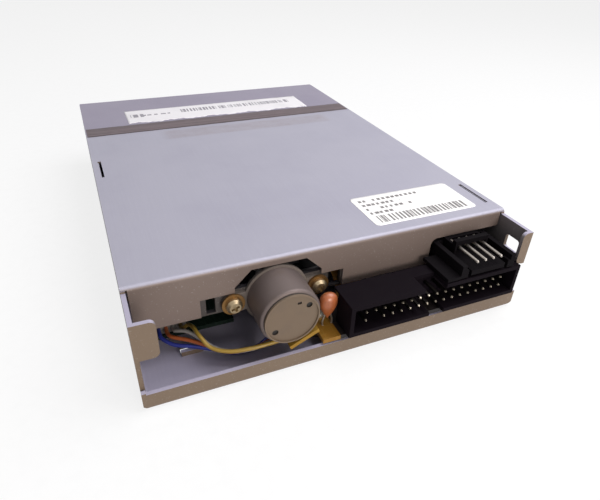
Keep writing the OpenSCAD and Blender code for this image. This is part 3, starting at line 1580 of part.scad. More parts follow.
module eject_button() color([0.1, 0.1, 0.1]) {
  y0 = front_y + button_inset;
  translate([button_x, y0 + button_l, button_z]) rotate([90, 0, 0])
    linear_extrude(height = button_l - button_r / 2) round_rect(button_w, button_h, button_r);
  translate([button_x, y0 + button_l, button_z]) rotate([90, 0, 0])
    linear_extrude(height = button_l)
      round_rect(button_w - button_r, button_h - button_r, button_r / 2);
}

module side_guides() color([0.64, 0.64, 0.65]) {
  slot_w = holder_pin_d + 2 * ramp_fit;
  for (side = [-1, 1]) {
    x0 = side > 0 ? guide_x : -guide_x - guide_t;
    foot = side > 0 ? guide_x : -guide_x - guide_t - guide_foot_w + seat;
    difference() {
      union() {
        span([x0, guide_from_y, pan_t], [x0 + guide_t, guide_to_y, guide_h]);
        span([foot, guide_from_y, pan_t], [foot + guide_t + guide_foot_w - seat, guide_to_y,
          pan_t + guide_t]);
        // Lug that holds the front end of a spring
        lug = side > 0 ? spring_x - spring_d / 2 : -guide_x - seat;
        span([lug, spring_from_y - slider_t, spring_z - slider_t],
          [lug + guide_x - spring_x + spring_d / 2 + seat, spring_from_y, spring_z + slider_t]);
      }
      for (y = [holder_pin_front_y, holder_pin_rear_y])
        span([x0 - over, y - slot_w / 2, pin_z - holder_drop - slot_w / 2],
          [x0 + guide_t + over, y + slot_w / 2, pin_z + slot_w / 2]);
      for (k = [0, 1])
        bar_x(mount_front_y + k * mount_pitch_y, mount_side_z, mount_boss_d + 2 * slip,
          x0 - over, x0 + guide_t + over);
      bar_z(side * mount_pitch_x / 2, mount_front_y, mount_boss_d + 2 * slip, 0,
        pan_t + mount_boss_t + slip);
    }
  }
}

// A tension spring along Y with a straight tail at each end
module tension_spring(x) {
  tail = spring_hook_d;
  body = spring_to_y - spring_from_y - 2 * tail;
  r = (spring_d - spring_wire) / 2;
  pitch = body / spring_curls;
  coil = [for (p = coil_path(spring_curls, r, pitch, spring_ring_share))
    [x + p.x, spring_from_y + tail + p.z, spring_z + p.y]];
  start = [x, spring_from_y + seat, spring_z];
  finish = [x, spring_to_y + spring_hook_d - seat, spring_z];
  tube(concat([start, [x + r / 3, spring_from_y + tail / 2, spring_z]], coil,
    [[x + r / 3, spring_to_y - tail / 2, spring_z], finish]), spring_wire / 2, 6);
}
module left_slider_spring() color([0.8, 0.8, 0.8]) tension_spring(spring_x);
module right_slider_spring() color([0.8, 0.8, 0.8]) tension_spring(-spring_x);

switch_places = [[-switch_x, switch_front_y], [switch_x, switch_front_y],
  [disk_switch_x, disk_switch_y]];

module sensor_switches() color([0.12, 0.12, 0.12]) {
  for (p = switch_places)
    difference() {
      slab(p.x, switch_w, p.y - switch_l / 2, p.y + switch_l / 2,
        spindle_board_top, spindle_board_top + switch_h);
      bar_z(p.x, p.y, plunger_d + 2 * run_fit, spindle_board_top + pan_t,
        spindle_board_top + switch_h + over);
    }
}

module plunger(k) {
  p = switch_places[k];
  low = spindle_board_top + pan_t + plunger_travel + slip;
  bar_z(p.x, p.y, plunger_d, low, plunger_top_z - plunger_d / 2);
  translate([p.x, p.y, plunger_top_z - plunger_d / 2]) sphere(d = plunger_d, $fn = 24);
}
module write_protect_plunger() color([0.9, 0.9, 0.88]) plunger(0);
module density_plunger() color([0.9, 0.9, 0.88]) plunger(1);
module disk_plunger() color([0.9, 0.9, 0.88]) plunger(2);

module activity_lamp() color([0.4, 0.75, 0.35]) {
  y0 = front_y + button_inset;
  slab(lamp_x, lamp_w, y0, y0 + lamp_l, lamp_z - lamp_h / 2, lamp_z + lamp_h / 2);
  foot_y = spindle_board_from_y + pin_w;
  for (side = [-1, 1]) translate([lamp_x + side * lamp_w / 4, 0, 0]) {
    span([-pin_w / 2, foot_y - pin_w / 2, spindle_board_top], [pin_w / 2, foot_y + pin_w / 2, lamp_z]);
    span([-pin_w / 2, y0 + lamp_l - seat, lamp_z - pin_w / 2], [pin_w / 2, foot_y, lamp_z + pin_w / 2]);
  }
}

pan_chassis();
top_cover();
stepper_bracket();
motor_plate();
stepper_can();
stepper_end_cap();
motor_terminal_strip();
motor_washers();
motor_screws();
lead_yellow();
lead_white();
lead_orange();
lead_blue();
lead_plug();
lead_socket();
main_board();
data_shroud();
data_pins();
power_housing();
power_pins();
drop_capacitor();
controller_chip();
chip_legs();
board_parts();
board_screws();
spindle_board();
spindle_bearing();
stator_core();
stator_coils();
rotor_cup();
rotor_magnet();
disk_hub();
drive_pin();
pin_leaf_spring();
lead_screw();
guide_rod();
rod_clamps();
bracket_screws();
head_carriage();
lower_head();
arm_hinge_pin();
upper_head_arm();
upper_head();
arm_spring();
head_ribbon();
track_sensor();
disk_holder();
shutter_lever();
lever_pivot();
lever_spring();
eject_slider();
eject_button();
left_slider_spring();
right_slider_spring();
side_guides();
sensor_switches();
write_protect_plunger();
density_plunger();
disk_plunger();
activity_lamp();
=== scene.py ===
"""Looks of a slim floppy disk drive, built round its packed mechanical model.

Every length is in metres in the model's own frame: +Z up, -Y the disk mouth, +Y the connectors.
"""

import json
import logging
import math
from dataclasses import dataclass, field
from enum import Enum
from typing import Optional, Sequence, Union

import bpy
import numpy as np
from mathutils import Matrix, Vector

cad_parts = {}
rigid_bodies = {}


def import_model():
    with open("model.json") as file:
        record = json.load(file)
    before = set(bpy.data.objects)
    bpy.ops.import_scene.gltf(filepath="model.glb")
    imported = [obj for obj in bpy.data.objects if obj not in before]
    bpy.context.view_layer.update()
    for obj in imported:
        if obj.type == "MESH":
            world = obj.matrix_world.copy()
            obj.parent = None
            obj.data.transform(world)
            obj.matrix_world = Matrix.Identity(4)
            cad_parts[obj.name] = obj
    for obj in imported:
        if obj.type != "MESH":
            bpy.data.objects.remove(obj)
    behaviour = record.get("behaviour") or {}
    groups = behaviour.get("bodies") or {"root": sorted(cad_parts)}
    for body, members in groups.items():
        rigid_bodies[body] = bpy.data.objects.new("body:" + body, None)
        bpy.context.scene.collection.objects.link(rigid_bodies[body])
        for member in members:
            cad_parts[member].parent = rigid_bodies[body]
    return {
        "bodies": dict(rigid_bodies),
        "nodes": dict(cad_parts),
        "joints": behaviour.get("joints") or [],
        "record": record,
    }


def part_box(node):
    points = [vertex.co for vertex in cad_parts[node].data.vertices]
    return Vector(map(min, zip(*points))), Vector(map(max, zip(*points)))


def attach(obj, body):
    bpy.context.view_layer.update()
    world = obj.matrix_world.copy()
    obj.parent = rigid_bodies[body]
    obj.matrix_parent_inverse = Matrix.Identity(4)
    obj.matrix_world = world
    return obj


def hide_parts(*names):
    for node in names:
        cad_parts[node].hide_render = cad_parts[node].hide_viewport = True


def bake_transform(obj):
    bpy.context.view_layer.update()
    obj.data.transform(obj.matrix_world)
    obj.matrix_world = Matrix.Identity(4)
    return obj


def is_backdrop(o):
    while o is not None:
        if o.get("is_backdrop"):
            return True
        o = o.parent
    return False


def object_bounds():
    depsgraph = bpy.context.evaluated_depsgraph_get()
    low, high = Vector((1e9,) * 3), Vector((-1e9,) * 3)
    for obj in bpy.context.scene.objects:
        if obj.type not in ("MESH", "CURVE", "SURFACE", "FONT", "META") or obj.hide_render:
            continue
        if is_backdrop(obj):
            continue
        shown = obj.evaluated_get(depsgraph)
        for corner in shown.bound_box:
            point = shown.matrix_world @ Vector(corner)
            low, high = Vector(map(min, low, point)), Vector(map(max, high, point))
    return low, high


LOG = logging.getLogger("floppy_drive")
Colour = tuple[float, float, float]
Place = tuple[float, float, float]
# Lowest and highest X, then lowest and highest Y.
Box = tuple[float, float, float, float]
Socket = Union[bpy.types.NodeSocket, float]
Paint = Union[bpy.types.NodeSocket, Colour]

MM = 0.001
SPINDLE_Y = -21.7 * MM
# Points of a node's loose triangles that are nearer than this are merged before a bevel.
WELD_GAP = 0.002 * MM
# Only edges that turn by more than this are broken.
EDGE_ANGLE = math.radians(50)
# Radius of the ring that closes an end.
END_RADIUS = 1e-6
SPRING_TINT: Colour = (0.62, 0.62, 0.6)


class Axis(Enum):
    """The direction along which a surface was rolled, ground or wound."""

    X = 0
    Y = 1
    Z = 2


def shaded(tint: Colour, share: float) -> Colour:
    """Returns a colour with each of its parts multiplied by a share."""
    return tuple(share * part for part in tint)


class Graph:
    """A material's node graph, with short calls for sums, masks and patterns."""

    def __init__(self, name: str) -> None:
        """Makes an empty material with one shader.

        Args:
            name: The material's name.
        """
        self.material = bpy.data.materials.new(name)
        self.material.use_nodes = True
        self.tree = self.material.node_tree
        self.tree.nodes.clear()
        self.shader = self.tree.nodes.new("ShaderNodeBsdfPrincipled")
        output = self.tree.nodes.new("ShaderNodeOutputMaterial")
        self.tree.links.new(self.shader.outputs["BSDF"], output.inputs["Surface"])
        self.place = self.tree.nodes.new("ShaderNodeTexCoord").outputs["Object"]
        self._split: Optional[bpy.types.Node] = None

    def feed(self, socket: bpy.types.NodeSocket, value: Union[Socket, Paint]) -> None:
        """Links a socket to an input, or writes a plain value on it.

        Args:
            socket: The input.
            value: A socket, a number or a colour.
        """
        if isinstance(value, bpy.types.NodeSocket):
            self.tree.links.new(value, socket)
        elif isinstance(value, tuple):
            socket.default_value = (*value, 1.0)
        else:
            socket.default_value = value

    def math(self, kind: str, first: Socket, second: Socket = 0.0) -> bpy.types.NodeSocket:
        """Works out one sum of two values.

        Args:
            kind: The name of Blender's Math operation.
            first: The first value.
            second: The second value, unused by an operation on one value.

        Returns:
            The result.
        """
        node = self.tree.nodes.new("ShaderNodeMath")
        node.operation = kind
        self.feed(node.inputs[0], first)
        self.feed(node.inputs[1], second)
        return node.outputs[0]

    def along(self, axis: Axis) -> bpy.types.NodeSocket:
        """Reads one coordinate of the surface point.

        Args:
            axis: Which coordinate.

        Returns:
            The coordinate in metres.
        """
        if self._split is None:
            self._split = self.tree.nodes.new("ShaderNodeSeparateXYZ")
            self.feed(self._split.inputs[0], self.place)
        return self._split.outputs[axis.value]

    def noise(self, scale: Union[float, Sequence[float]], detail: float = 3.0,
              rough: float = 0.55) -> bpy.types.NodeSocket:
        """Makes smooth noise, which is stretched where its frequency differs by axis.

        Args:
            scale: Waves per metre, one number or one for each axis.
            detail: Number of finer octaves.
            rough: Strength of the finer octaves.

        Returns:
            A value from 0 to 1.
        """
        mapping = self.tree.nodes.new("ShaderNodeMapping")
        self.feed(mapping.inputs["Vector"], self.place)
        mapping.inputs["Scale"].default_value = np.broadcast_to(scale, 3)
        node = self.tree.nodes.new("ShaderNodeTexNoise")
        node.inputs["Scale"].default_value = 1.0
        node.inputs["Detail"].default_value = detail
        node.inputs["Roughness"].default_value = rough
        self.feed(node.inputs["Vector"], mapping.outputs[0])
        return node.outputs["Fac"]

    def cell_value(self, first: Socket, second: Socket = 0.0) -> bpy.types.NodeSocket:
        """Draws a random value that is constant over each whole-number cell.

        Args:
            first: The first coordinate, in cells.
            second: The second coordinate, in cells.

        Returns:
            A value from 0 to 1.
        """
        join = self.tree.nodes.new("ShaderNodeCombineXYZ")
        self.feed(join.inputs[0], self.math("FLOOR", first))
        self.feed(join.inputs[1], self.math("FLOOR", second))
        node = self.tree.nodes.new("ShaderNodeTexWhiteNoise")
        node.noise_dimensions = "3D"
        self.feed(node.inputs["Vector"], join.outputs[0])
        return node.outputs["Value"]

    def ramp(self, value: Socket, low: float, high: float) -> bpy.types.NodeSocket:
        """Makes a smooth step.

        Args:
            value: What is measured.
            low: Where the step starts.
            high: Where the step ends.

        Returns:
            0 up to low, 1 from high on, and a smooth rise between them.
        """
        node = self.tree.nodes.new("ShaderNodeMapRange")
        node.interpolation_type = "SMOOTHSTEP"
        self.feed(node.inputs["Value"], value)
        node.inputs["From Min"].default_value = low
        node.inputs["From Max"].default_value = high
        return node.outputs["Result"]

    def spread(self, value: Socket, low: float, high: float) -> bpy.types.NodeSocket:
        """Stretches a value from 0 to 1 over another range.

        Args:
            value: The value.
            low: The result at 0.
            high: The result at 1.

        Returns:
            The stretched value.
        """
        node = self.tree.nodes.new("ShaderNodeMapRange")
        self.feed(node.inputs["Value"], value)
        node.inputs["To Min"].default_value = low
        node.inputs["To Max"].default_value = high
        return node.outputs["Result"]

    def band(self, value: Socket, low: float, high: float, soft: float) -> bpy.types.NodeSocket:
        """Returns 1 between low and high and 0 elsewhere, with edges as wide as twice soft."""
        return self.math("MULTIPLY", self.ramp(value, low - soft, low + soft),
                         self.math("SUBTRACT", 1.0, self.ramp(value, high - soft, high + soft)))

    def blend(self, share: Socket, first: Paint, second: Paint,
              kind: str = "MIX") -> bpy.types.NodeSocket:
        """Mixes two colours.

        Args:
            share: How much of the second colour shows, from 0 to 1.
            first: The colour at share 0.
            second: The colour at share 1.
            kind: The name of Blender's blend type.

        Returns:
            The mixed colour.
        """
        node = self.tree.nodes.new("ShaderNodeMix")
        node.data_type = "RGBA"
        node.blend_type = kind
        self.feed(node.inputs["Factor"], share)
        self.feed(node.inputs["A"], first)
        self.feed(node.inputs["B"], second)
        return node.outputs["Result"]

    def faces(self, axis: Axis) -> bpy.types.NodeSocket:
        """Marks faces that look along an axis, either way.

        Args:
            axis: The axis.

        Returns:
            1 on those faces, 0 on faces at right angles to them, and a smooth step between.
        """
        geometry = self.tree.nodes.new("ShaderNodeNewGeometry")
        split = self.tree.nodes.new("ShaderNodeSeparateXYZ")
        self.feed(split.inputs[0], geometry.outputs["True Normal"])
        return self.ramp(self.math("ABSOLUTE", split.outputs[axis.value]), 0.35, 0.85)

    def bump(self, height: Socket, distance: float, strength: float = 1.0) -> None:
        """Raises the surface's shading by a height pattern.

        Args:
            height: Pattern from 0 to 1.
            distance: Depth of the pattern in metres.
            strength: Share of the effect that shows.
        """
        node = self.tree.nodes.new("ShaderNodeBump")
        node.inputs["Distance"].default_value = distance
        node.inputs["Strength"].default_value = strength
        self.feed(node.inputs["Height"], height)
        self.feed(self.shader.inputs["Normal"], node.outputs["Normal"])

    def colour(self, value: Paint) -> None:
        """Sets the base colour."""
        self.feed(self.shader.inputs["Base Color"], value)

    def gloss(self, metallic: float, rough: Socket, shine: float = 0.5) -> None:
        """Sets how the surface reflects.

        Args:
            metallic: 0 for plastic and paint, up to 1 for bare metal.
            rough: Roughness from 0 to 1.
            shine: Strength of the plain reflection, 0.5 for a common plastic.
        """
        self.shader.inputs["Metallic"].default_value = metallic
        self.feed(self.shader.inputs["Roughness"], rough)
        self.shader.inputs["Specular IOR Level"].default_value = shine

    def coat(self, weight: float, rough: float) -> None:
        """Lays a clear coat of a weight from 0 to 1 and a roughness over the surface."""
        self.shader.inputs["Coat Weight"].default_value = weight
        self.shader.inputs["Coat Roughness"].default_value = rough


@dataclass(frozen=True)
class PlatedSheet:
    """Rolled sheet steel, with painted shade: upright faces are warmer and darker than flat ones.

    The flat colour turns to the front colour over front_edge along Y, the side colour (painted
    shade) lies on faces that look along X, and patch is where the remains of an old sticker show.
    """

    name: str
    flat: Colour
    # Painted shade: the upright colour goes on faces that look along Y, the side colour on faces
    # along X.
    upright_shade: Colour
    roll: Axis = Axis.Y
    metallic: float = 0.35
    rough: float = 0.42
    front: Optional[Colour] = None
    front_edge: tuple[float, float] = (-37 * MM, -29 * MM)
    side: Optional[Colour] = None
    patch: Optional[Box] = None
    patch_tint: Colour = (0.27, 0.23, 0.24)
    line_tint: Colour = (0.08, 0.075, 0.08)
    speck_tint: Colour = (0.7, 0.7, 0.72)
    cloud_tint: Colour = (0.94, 0.94, 0.95)
    lines_across: float = 2600.0
    lines_lengthwise: float = 60.0
    line_depth: float = 0.012 * MM

    def build(self) -> bpy.types.Material:
        """Makes the steel: fine rolling lines, soft clouds, specks and the sticker's remains.

        Returns:
            The material.
        """
        g = Graph(self.name)
        lines = [self.lines_across] * 3
        lines[self.roll.value] = self.lines_lengthwise
        rolled = g.noise(lines, 2.0)
        clouds = g.noise(38.0, 4.0)
        specks = g.ramp(g.noise(2400.0, 1.0), 0.66, 0.76)
        flat: Paint = self.flat
        if self.front is not None:
            first, last = self.front_edge
            flat = g.blend(g.ramp(g.along(Axis.Y), first, last), self.front, self.flat)
        # Painted shade: faces that look along Y take the darker upright colour and faces along X
        # the side colour.
        upright_shade: Paint = self.upright_shade
        if self.side is not None:
            upright_shade = g.blend(g.faces(Axis.X), self.upright_shade, self.side)
        base = g.blend(g.faces(Axis.Z), upright_shade, flat)
        base = g.blend(g.ramp(clouds, 0.35, 0.75), base, self.cloud_tint, "MULTIPLY")
        base = g.blend(g.spread(rolled, 0.0, 0.10), base, self.line_tint)
        base = g.blend(g.math("MULTIPLY", specks, 0.12), base, self.speck_tint)
        if self.patch is not None:
            base = g.blend(self._remains(g, self.patch), base, self.patch_tint)
        g.colour(base)
        g.gloss(self.metallic, g.spread(clouds, self.rough - 0.08, self.rough + 0.12))
        g.bump(rolled, self.line_depth, 0.5)
        return g.material

    def _remains(self, g: Graph, patch: Box) -> bpy.types.NodeSocket:
        """Breaks up a rectangle as glue does where paper was torn off.

        Args:
            g: The material's graph.
            patch: Lowest and highest X and Y of the rectangle.

        Returns:
            How much of the glue shows, from 0 to 1.
        """
        x0, x1, y0, y1 = patch
        covered = g.math("MULTIPLY", g.band(g.along(Axis.X), x0, x1, 2 * MM),
                         g.band(g.along(Axis.Y), y0, y1, 0.8 * MM))
        broken = g.ramp(g.noise((260.0, 420.0, 100.0), 4.0, 0.7), 0.25, 0.8)
        return g.math("MULTIPLY", covered, g.spread(broken, 0.22, 0.55))


@dataclass(frozen=True)
class TurnedMetal:
    """Bright drawn, ground or polished metal with fine lines across its roll axis.

    Where a tip is given, the metal is bright past that place along the axis and painted near black
    before it, as painted shade in a recess.
    """

    name: str
    tint: Colour
    roll: Axis = Axis.Y
    rough: float = 0.28
    metallic: float = 0.9
    lines: float = 3200.0
    tip: Optional[float] = None
    tarnish: Colour = (0.12, 0.09, 0.07)
    recess_shade: Colour = (0.02, 0.017, 0.015)
    line_depth: float = 0.01 * MM

    def build(self) -> bpy.types.Material:
        """Makes the metal: stretched noise for the lines and a cloudy tarnish.

        Returns:
            The material.
        """
        g = Graph(self.name)
        scale = [200.0] * 3
        scale[self.roll.value] = self.lines
        fine = g.noise(scale, 2.0)
        cloud = g.noise(240.0, 4.0)
        base = g.blend(g.math("MULTIPLY", g.ramp(cloud, 0.5, 0.8), 0.35), self.tint, self.tarnish)
        base = g.blend(g.spread(fine, 0.0, 0.2), base, self.tarnish)
        if self.tip is not None:
            # Painted shade: before the tip the metal turns near black, as if in the shade of a
            # recess.
            bright = g.ramp(g.along(self.roll), self.tip - 0.3 * MM, self.tip + 0.1 * MM)
            base = g.blend(bright, self.recess_shade, base)
        g.colour(base)
        g.gloss(self.metallic, g.spread(cloud, self.rough - 0.06, self.rough + 0.16))
        g.bump(fine, self.line_depth, 0.4)
        return g.material


@dataclass(frozen=True)
class Moulding:
    """Moulded plastic: an even colour with fine spark-eroded grain and light dust."""

    name: str
    tint: Colour
    rough: float = 0.5
    grain: float = 2400.0
    depth: float = 0.02 * MM
    dust: float = 0.10
    coat: float = 0.0
    shine: float = 0.5

    def build(self) -> bpy.types.Material:
        """Makes the plastic: grain bump, a little mottling, and dust on flat faces.

        Returns:
            The material.
        """
        g = Graph(self.name)
        grain = g.noise(self.grain, 2.0)
        mottle = g.noise(300.0, 3.0)
        dusty = tuple(0.75 * part + 0.06 for part in self.tint)
        base = g.blend(g.math("MULTIPLY", g.ramp(mottle, 0.4, 0.8), 0.25), self.tint,
                       shaded(self.tint, 0.7))
        share = g.math("MULTIPLY", g.faces(Axis.Z),
                       g.spread(g.ramp(mottle, 0.3, 0.7), 0.0, self.dust))
        g.colour(g.blend(share, base, dusty))
        g.gloss(0.0, g.spread(mottle, self.rough - 0.08, self.rough + 0.1), self.shine)
        g.coat(self.coat, 0.12)
        g.bump(grain, self.depth, 0.6)
        return g.material


@dataclass(frozen=True)
class Laminate:
    """Circuit board: coated laminate with woven fibres and copper tracks.

    Below a given limit along X, the board is painted near black: painted shade under the connector.
    """

    name: str
    tint: Colour
    track: Colour
    pitch: float = 1.3 * MM
    shows: float = 0.55
    # Painted shade: below this limit along X the board is painted near black, as under the data
    # connector.
    shaded_below: Optional[float] = None
    under_connector_shade: Colour = (0.012, 0.009, 0.009)
    track_depth: float = 0.04 * MM

    def build(self) -> bpy.types.Material:
        """Makes the board: tracks run in lanes over random cells of a grid that is long in their
        own direction.

        Returns:
            The material.
        """
        g = Graph(self.name)
        x = g.math("DIVIDE", g.along(Axis.X), self.pitch)
        y = g.math("DIVIDE", g.along(Axis.Y), self.pitch)
        runs = g.math("MULTIPLY", g.band(g.math("FRACT", x), 0.34, 0.66, 0.05),
                      g.math("GREATER_THAN", g.cell_value(x, g.math("MULTIPLY", y, 0.16)), 0.45))
        cross = g.math("MULTIPLY", g.band(g.math("FRACT", y), 0.36, 0.64, 0.05),
                       g.math("GREATER_THAN", g.cell_value(g.math("MULTIPLY", x, 0.2), y), 0.72))
        fibre = g.noise((1800.0, 1800.0, 300.0), 2.0)
        base = g.blend(g.spread(fibre, 0.0, 0.5), self.tint, shaded(self.tint, 0.6))
        tracks = g.math("MAXIMUM", runs, cross)
        base = g.blend(g.math("MULTIPLY", tracks, self.shows), base, self.track)
        # Painted shade: the board turns near black below the limit along X, for the shade under the
        # connector.
        if self.shaded_below is not None:
            bare = g.ramp(g.along(Axis.X), self.shaded_below, self.shaded_below + 0.3 * MM)
            base = g.blend(bare, self.under_connector_shade, base)
        g.colour(base)
        g.gloss(0.0, g.spread(fibre, 0.36, 0.52), 0.25)
        g.bump(tracks, self.track_depth, 0.6)
        return g.material


@dataclass(frozen=True)
class Resin:
    """Glossy dipped resin with a slightly wavy skin and dark pores."""

    name: str
    tint: Colour
    wave_depth: float = 0.12 * MM

    def build(self) -> bpy.types.Material:
        """Makes the resin: two tones of the tint and small pores under a clear coat.

        Returns:
            The material.
        """
        g = Graph(self.name)
        cloud = g.noise((500.0, 500.0, 400.0), 3.0)
        pores = g.ramp(g.noise(2200.0, 2.0), 0.5, 0.7)
        base = g.blend(cloud, self.tint, shaded(self.tint, 0.5))
        g.colour(g.blend(g.math("MULTIPLY", pores, 0.4), base, shaded(self.tint, 0.35)))
        g.gloss(0.0, g.spread(cloud, 0.34, 0.5))
        g.coat(0.25, 0.2)
        g.bump(cloud, self.wave_depth, 0.4)
        return g.material


@dataclass(frozen=True)
class Insulation:
    """Soft insulation of a thin lead, a little dirty, with a waxy sheen."""

    name: str
    tint: Colour
    line_depth: float = 0.01 * MM

    def build(self) -> bpy.types.Material:
        """Makes the insulation: faint dirt clouds and an extrusion's fine lines.

        Returns:
            The material.
        """
        g = Graph(self.name)
        dirt = g.noise(420.0, 4.0)
        g.colour(g.blend(g.math("MULTIPLY", g.ramp(dirt, 0.45, 0.8), 0.5), self.tint,
                         shaded(self.tint, 0.5)))
        g.gloss(0.0, g.spread(dirt, 0.32, 0.5))
        g.bump(g.noise((900.0, 5000.0, 5000.0), 1.0), self.line_depth, 0.4)
        return g.material


@dataclass(frozen=True)
class Winding:
    """Enamelled copper wire wound side by side."""

    name: str
    tint: Colour
    pitch: float = 0.25 * MM
    groove_depth: float = 0.1 * MM

    def build(self) -> bpy.types.Material:
        """Makes the wire: the sine of the distance from the spindle's axis, one wave for each
        wire, gives rings about that axis; the troughs between wires are painted darker as shade.

        Returns:
            The material.
        """
        g = Graph(self.name)
        y = g.math("SUBTRACT", g.along(Axis.Y), SPINDLE_Y)
        x = g.along(Axis.X)
        radius = g.math("SQRT", g.math("ADD", g.math("MULTIPLY", x, x), g.math("MULTIPLY", y, y)))
        wave = g.math("SINE", g.math("MULTIPLY", radius, math.tau / self.pitch))
        share = g.spread(g.math("MULTIPLY", g.math("ADD", wave, 1.0), 0.5), 0.0, 0.8)
        # Painted shade: the troughs between the wires are darkened to 0.4 of the tint.
        g.colour(g.blend(share, shaded(self.tint, 0.4), self.tint))
        g.gloss(0.7, 0.32)
        g.bump(share, self.groove_depth, 0.8)
        return g.material


@dataclass(frozen=True)
class PaperLabel:
    """White paper with rows of plain dashes and a block of plain bars.

    The print's sizes are in metres from the label's rear corner at the +X side: each row has its
    place, its height and its length, and the block has its limits along X and Y.
    """

    name: str
    paper: Colour
    ink: Colour
    corner: tuple[float, float]
    rows: tuple[tuple[float, float, float], ...]
    bars: Box
    bar_pitch: float = 0.95 * MM
    dash: float = 1.5 * MM
    margin: float = 1.6 * MM
    sharp: float = 0.02 * MM
    wear: float = 0.25
    fibre_depth: float = 0.015 * MM

    def build(self) -> bpy.types.Material:
        """Makes the paper: soil clouds, worn ink, and the fine bump of its fibres.

        Returns:
            The material.
        """
        g = Graph(self.name)
        x = g.math("SUBTRACT", self.corner[0], g.along(Axis.X))
        y = g.math("SUBTRACT", self.corner[1], g.along(Axis.Y))
        printed = g.math("MAXIMUM", self._bars(g, x, y), self._dashes(g, x, y))
        soil = g.noise(90.0, 5.0)
        base = g.blend(g.math("MULTIPLY", g.ramp(soil, 0.45, 0.8), self.wear), self.paper,
                       shaded(self.paper, 0.62))
        faded = g.math("MULTIPLY", printed, g.spread(g.noise(900.0, 2.0), 0.7, 1.0))
        g.colour(g.blend(faded, base, self.ink))
        g.gloss(0.0, g.spread(soil, 0.5, 0.65))
        g.bump(g.noise(2600.0, 2.0), self.fibre_depth, 0.5)
        return g.material

    def _bars(self, g: Graph, x: Socket, y: Socket) -> bpy.types.NodeSocket:
        """Marks the block of bars: in each lane a bar of random width, and over them narrow
        bars on a finer pitch, each there or not by its cell's random value.

        Args:
            g: The material's graph.
            x: Distance from the corner along X.
            y: Distance from the corner along Y.

        Returns:
            1 on a bar and 0 elsewhere.
        """
        low_x, high_x, low_y, high_y = self.bars
        lane = g.math("DIVIDE", x, self.bar_pitch)
        wide = g.math("LESS_THAN", g.math("FRACT", lane), g.spread(g.cell_value(lane), 0.15, 0.7))
        thin = g.math("DIVIDE", x, 0.38 * self.bar_pitch)
        narrow = g.math("MULTIPLY", g.math("LESS_THAN", g.math("FRACT", thin), 0.5),
                        g.math("GREATER_THAN", g.cell_value(thin, 3.0), 0.45))
        block = g.math("MULTIPLY", g.band(x, low_x, high_x, self.sharp),
                       g.band(y, low_y, high_y, self.sharp))
        return g.math("MULTIPLY", g.math("MAXIMUM", wide, narrow), block)

    def _dashes(self, g: Graph, x: Socket, y: Socket) -> Socket:
        """Marks the rows of dashes: each cell along a row has a dash of random length or none.

        Args:
            g: The material's graph.
            x: Distance from the corner along X.
            y: Distance from the corner along Y.

        Returns:
            1 on a dash and 0 elsewhere.
        """
        lane = g.math("DIVIDE", x, self.dash)
        marked: Socket = 0.0
        for seed, (top, height, length) in enumerate(self.rows):
            long = g.math("LESS_THAN", g.math("FRACT", lane),
                          g.spread(g.cell_value(lane, seed + 0.5), 0.45, 0.85))
            there = g.math("GREATER_THAN", g.cell_value(lane, seed + 20.5), 0.14)
            row = g.math("MULTIPLY", g.band(x, self.margin, self.margin + length, self.sharp),
                         g.band(y, top, top + height, 6 * self.sharp))
            dash = g.math("MULTIPLY", g.math("MULTIPLY", long, there), row)
            marked = g.math("MAXIMUM", marked, dash)
        return marked


@dataclass(frozen=True)
class OldTape:
    """Parcel tape gone dull, with streaks along it and dirt caught at its two edges.

    The dirt lies inside the limits along Y in edges, which move by skew for each metre along X.
    """

    name: str
    tint: Colour
    edges: Optional[tuple[float, float]] = None
    skew: float = 0.0059
    skin_depth: float = 0.06 * MM

    def build(self) -> bpy.types.Material:
        """Makes the tape: long streaks, trapped air and a soft shine.

        Returns:
            The material.
        """
        g = Graph(self.name)
        streak = g.noise((25.0, 900.0, 200.0), 3.0)
        cloud = g.noise((160.0, 300.0, 160.0), 4.0)
        base = g.blend(g.ramp(streak, 0.35, 0.65), self.tint, shaded(self.tint, 0.6))
        pale = tuple(min(1.0, 1.3 * part + 0.02) for part in self.tint)
        base = g.blend(g.math("MULTIPLY", g.ramp(cloud, 0.5, 0.75), 0.4), base, pale)
        if self.edges is not None:
            low, high = self.edges
            y = g.math("SUBTRACT", g.along(Axis.Y), g.math("MULTIPLY", g.along(Axis.X), self.skew))
            inside = g.band(y, low + 0.35 * MM, high - 0.75 * MM, 0.25 * MM)
            dirt = g.math("MULTIPLY", g.math("SUBTRACT", 1.0, inside), g.spread(cloud, 0.5, 1.0))
            base = g.blend(dirt, base, shaded(self.tint, 0.3))
        g.colour(base)
        g.gloss(0.0, g.spread(cloud, 0.4, 0.6), 0.25)
        g.bump(cloud, self.skin_depth, 0.5)
        return g.material


Finish = Union[PlatedSheet, TurnedMetal, Moulding, Laminate, Resin, Insulation, Winding,
               PaperLabel, OldTape]


